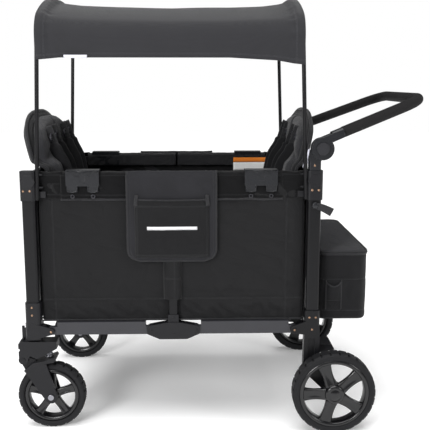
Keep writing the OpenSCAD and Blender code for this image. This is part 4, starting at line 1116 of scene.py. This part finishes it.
def wheelDress(node, body, spec, outward):
    low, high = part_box(node)
    middle = (low + high) / 2
    r, w, hub, cap = spec["rim"], spec["half"], spec["hub"], spec["cap"]
    ringProfile = [(r - 13, 3 - w), (r - 14, 0), (r - 13, w - 5), (r - 10.5, w - 1), (r - 7, w),
                   (r - 1.5, w - 1.5), (r - 0.6, w - 4), (r - 0.6, 4 - w), (r - 2, 1 - w), (r - 9, -w),
                   (r - 13, 3 - w)]
    capProfile = [(0.01, cap), (hub * 0.5, cap - 0.3), (hub * 0.55, cap - 1.5), (hub * 0.62, cap - 1.5),
                  (hub * 0.68, cap - 0.2), (hub * 0.86, cap - 1.6), (hub * 0.97, cap - 4.5), (hub, cap - 8),
                  (hub, 4 - w)]
    shapes = [turned(ringProfile), turned(capProfile)]
    shapes += [spokeMesh(spec, radians(spec["first"] + 360 / spokeSpec["count"] * k))
               for k in range(spokeSpec["count"])]
    pieces = []
    for vertices, faces in shapes:
        places = [middle + Vector((x, outward * y, z)) / 1000 for x, y, z in vertices]
        pieces.append(makePiece("shape", places, faces, finishTable["rim_plastic"][0]))
    wheel = faceOut(join("dressed" + node[0].upper() + node[1:].replace("_", ""), pieces))
    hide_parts(node)
    wear(wheel, body)


for side, word in ((-1, "left"), (1, "right")):
    for end, spec in wheelSpecs.items():
        wheelDress(end + "_rim_" + word, end + "_wheel_" + word, spec, side)
print("wheels dressed")

# ---- rail clip keys and lugs, hook strap

clipKey = ((-22, 721), (22, 721), (22, 713), (7, 711), (7, 699), (-7, 699), (-7, 711), (-22, 713))
clipLug = dict(radius=13, top=688, low=675, round=6)
snapSpec = dict(inset=17, radius=4.5, y=284.8, z=657)
hook = dict(x=383.5, z=633, slope=22, proud=0.6)
clipFinish = finishTable["clip_plastic"][0]
for word, nodeName, bodyName in (("Front", "front_rail_clips", "upper_front_link"),
                                 ("Rear", "rear_rail_clips", "upper_rear_link")):
    low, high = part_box(nodeName)
    x0, x1 = (low.x - midX) * 1000, (high.x - midX) * 1000
    mx = (x0 + x1) / 2
    g = clipLug
    parts = []
    for side in (-1, 1):
        y = side * (high.y * 1000 + 0.2)
        parts.append(tubeAlong("key", [(mx + x, y, z) for x, z in clipKey], 0.9, clipFinish, sides=6, closed=True))
        parts.append(tubeAlong("edge", [(x0 + 2, y, 725.5), (x1 - 2, y, 725.5)], 1.5, clipFinish, sides=8))
        for lx in (x0 + 4, x1 - 30):
            lug = [(lx, y - side * 1.5, g["top"])]
            lug += [(lx + g["radius"] * (1 - cos(a)), y - side * 1.0, g["low"] - g["round"] * sin(a))
                    for a in (pi * i / 10 for i in range(11))]
            lug += [(lx + 2 * g["radius"], y - side * 1.5, g["top"])]
            parts.append(tubeAlong("lug", lug, 1.8, clipFinish, sides=8))
        for sx in (x0 + snapSpec["inset"], x1 - snapSpec["inset"]):
            snap = [(sx + snapSpec["radius"] * cos(a), side * snapSpec["y"],
                     snapSpec["z"] + snapSpec["radius"] * sin(a))
                    for a in (2 * pi * i / 14 for i in range(14))]
            parts.append(tubeAlong("snap", snap, 1.6, buckle, closed=True))
    wear(join("clipKeys" + word, parts), bodyName)

hookLow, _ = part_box("fold_hook")
hookY = hookLow.y * 1000 - hook["proud"]
slope = radians(hook["slope"])
strapPath = [(hook["x"] + d * cos(slope), hookY, hook["z"] - d * sin(slope) + 1.5 * sin(d / 14))
             for d in range(-4, 51, 3)]
hookStrap = tubeAlong("strap", strapPath, lambda t: 8.5 + 3 * t, edgeTape, sides=16, flat=0.16, side=(0, 1, 0))
hookCap = tubeAlong("cap", [(hook["x"], hookY + out, hook["z"]) for out in (2, -3.4, -4.4)],
                    lambda t: 8 - 3 * max(0.0, t - 0.5), clipFinish, sides=24)
wear(join("hookStrap", [hookStrap, hookCap]), "hook")
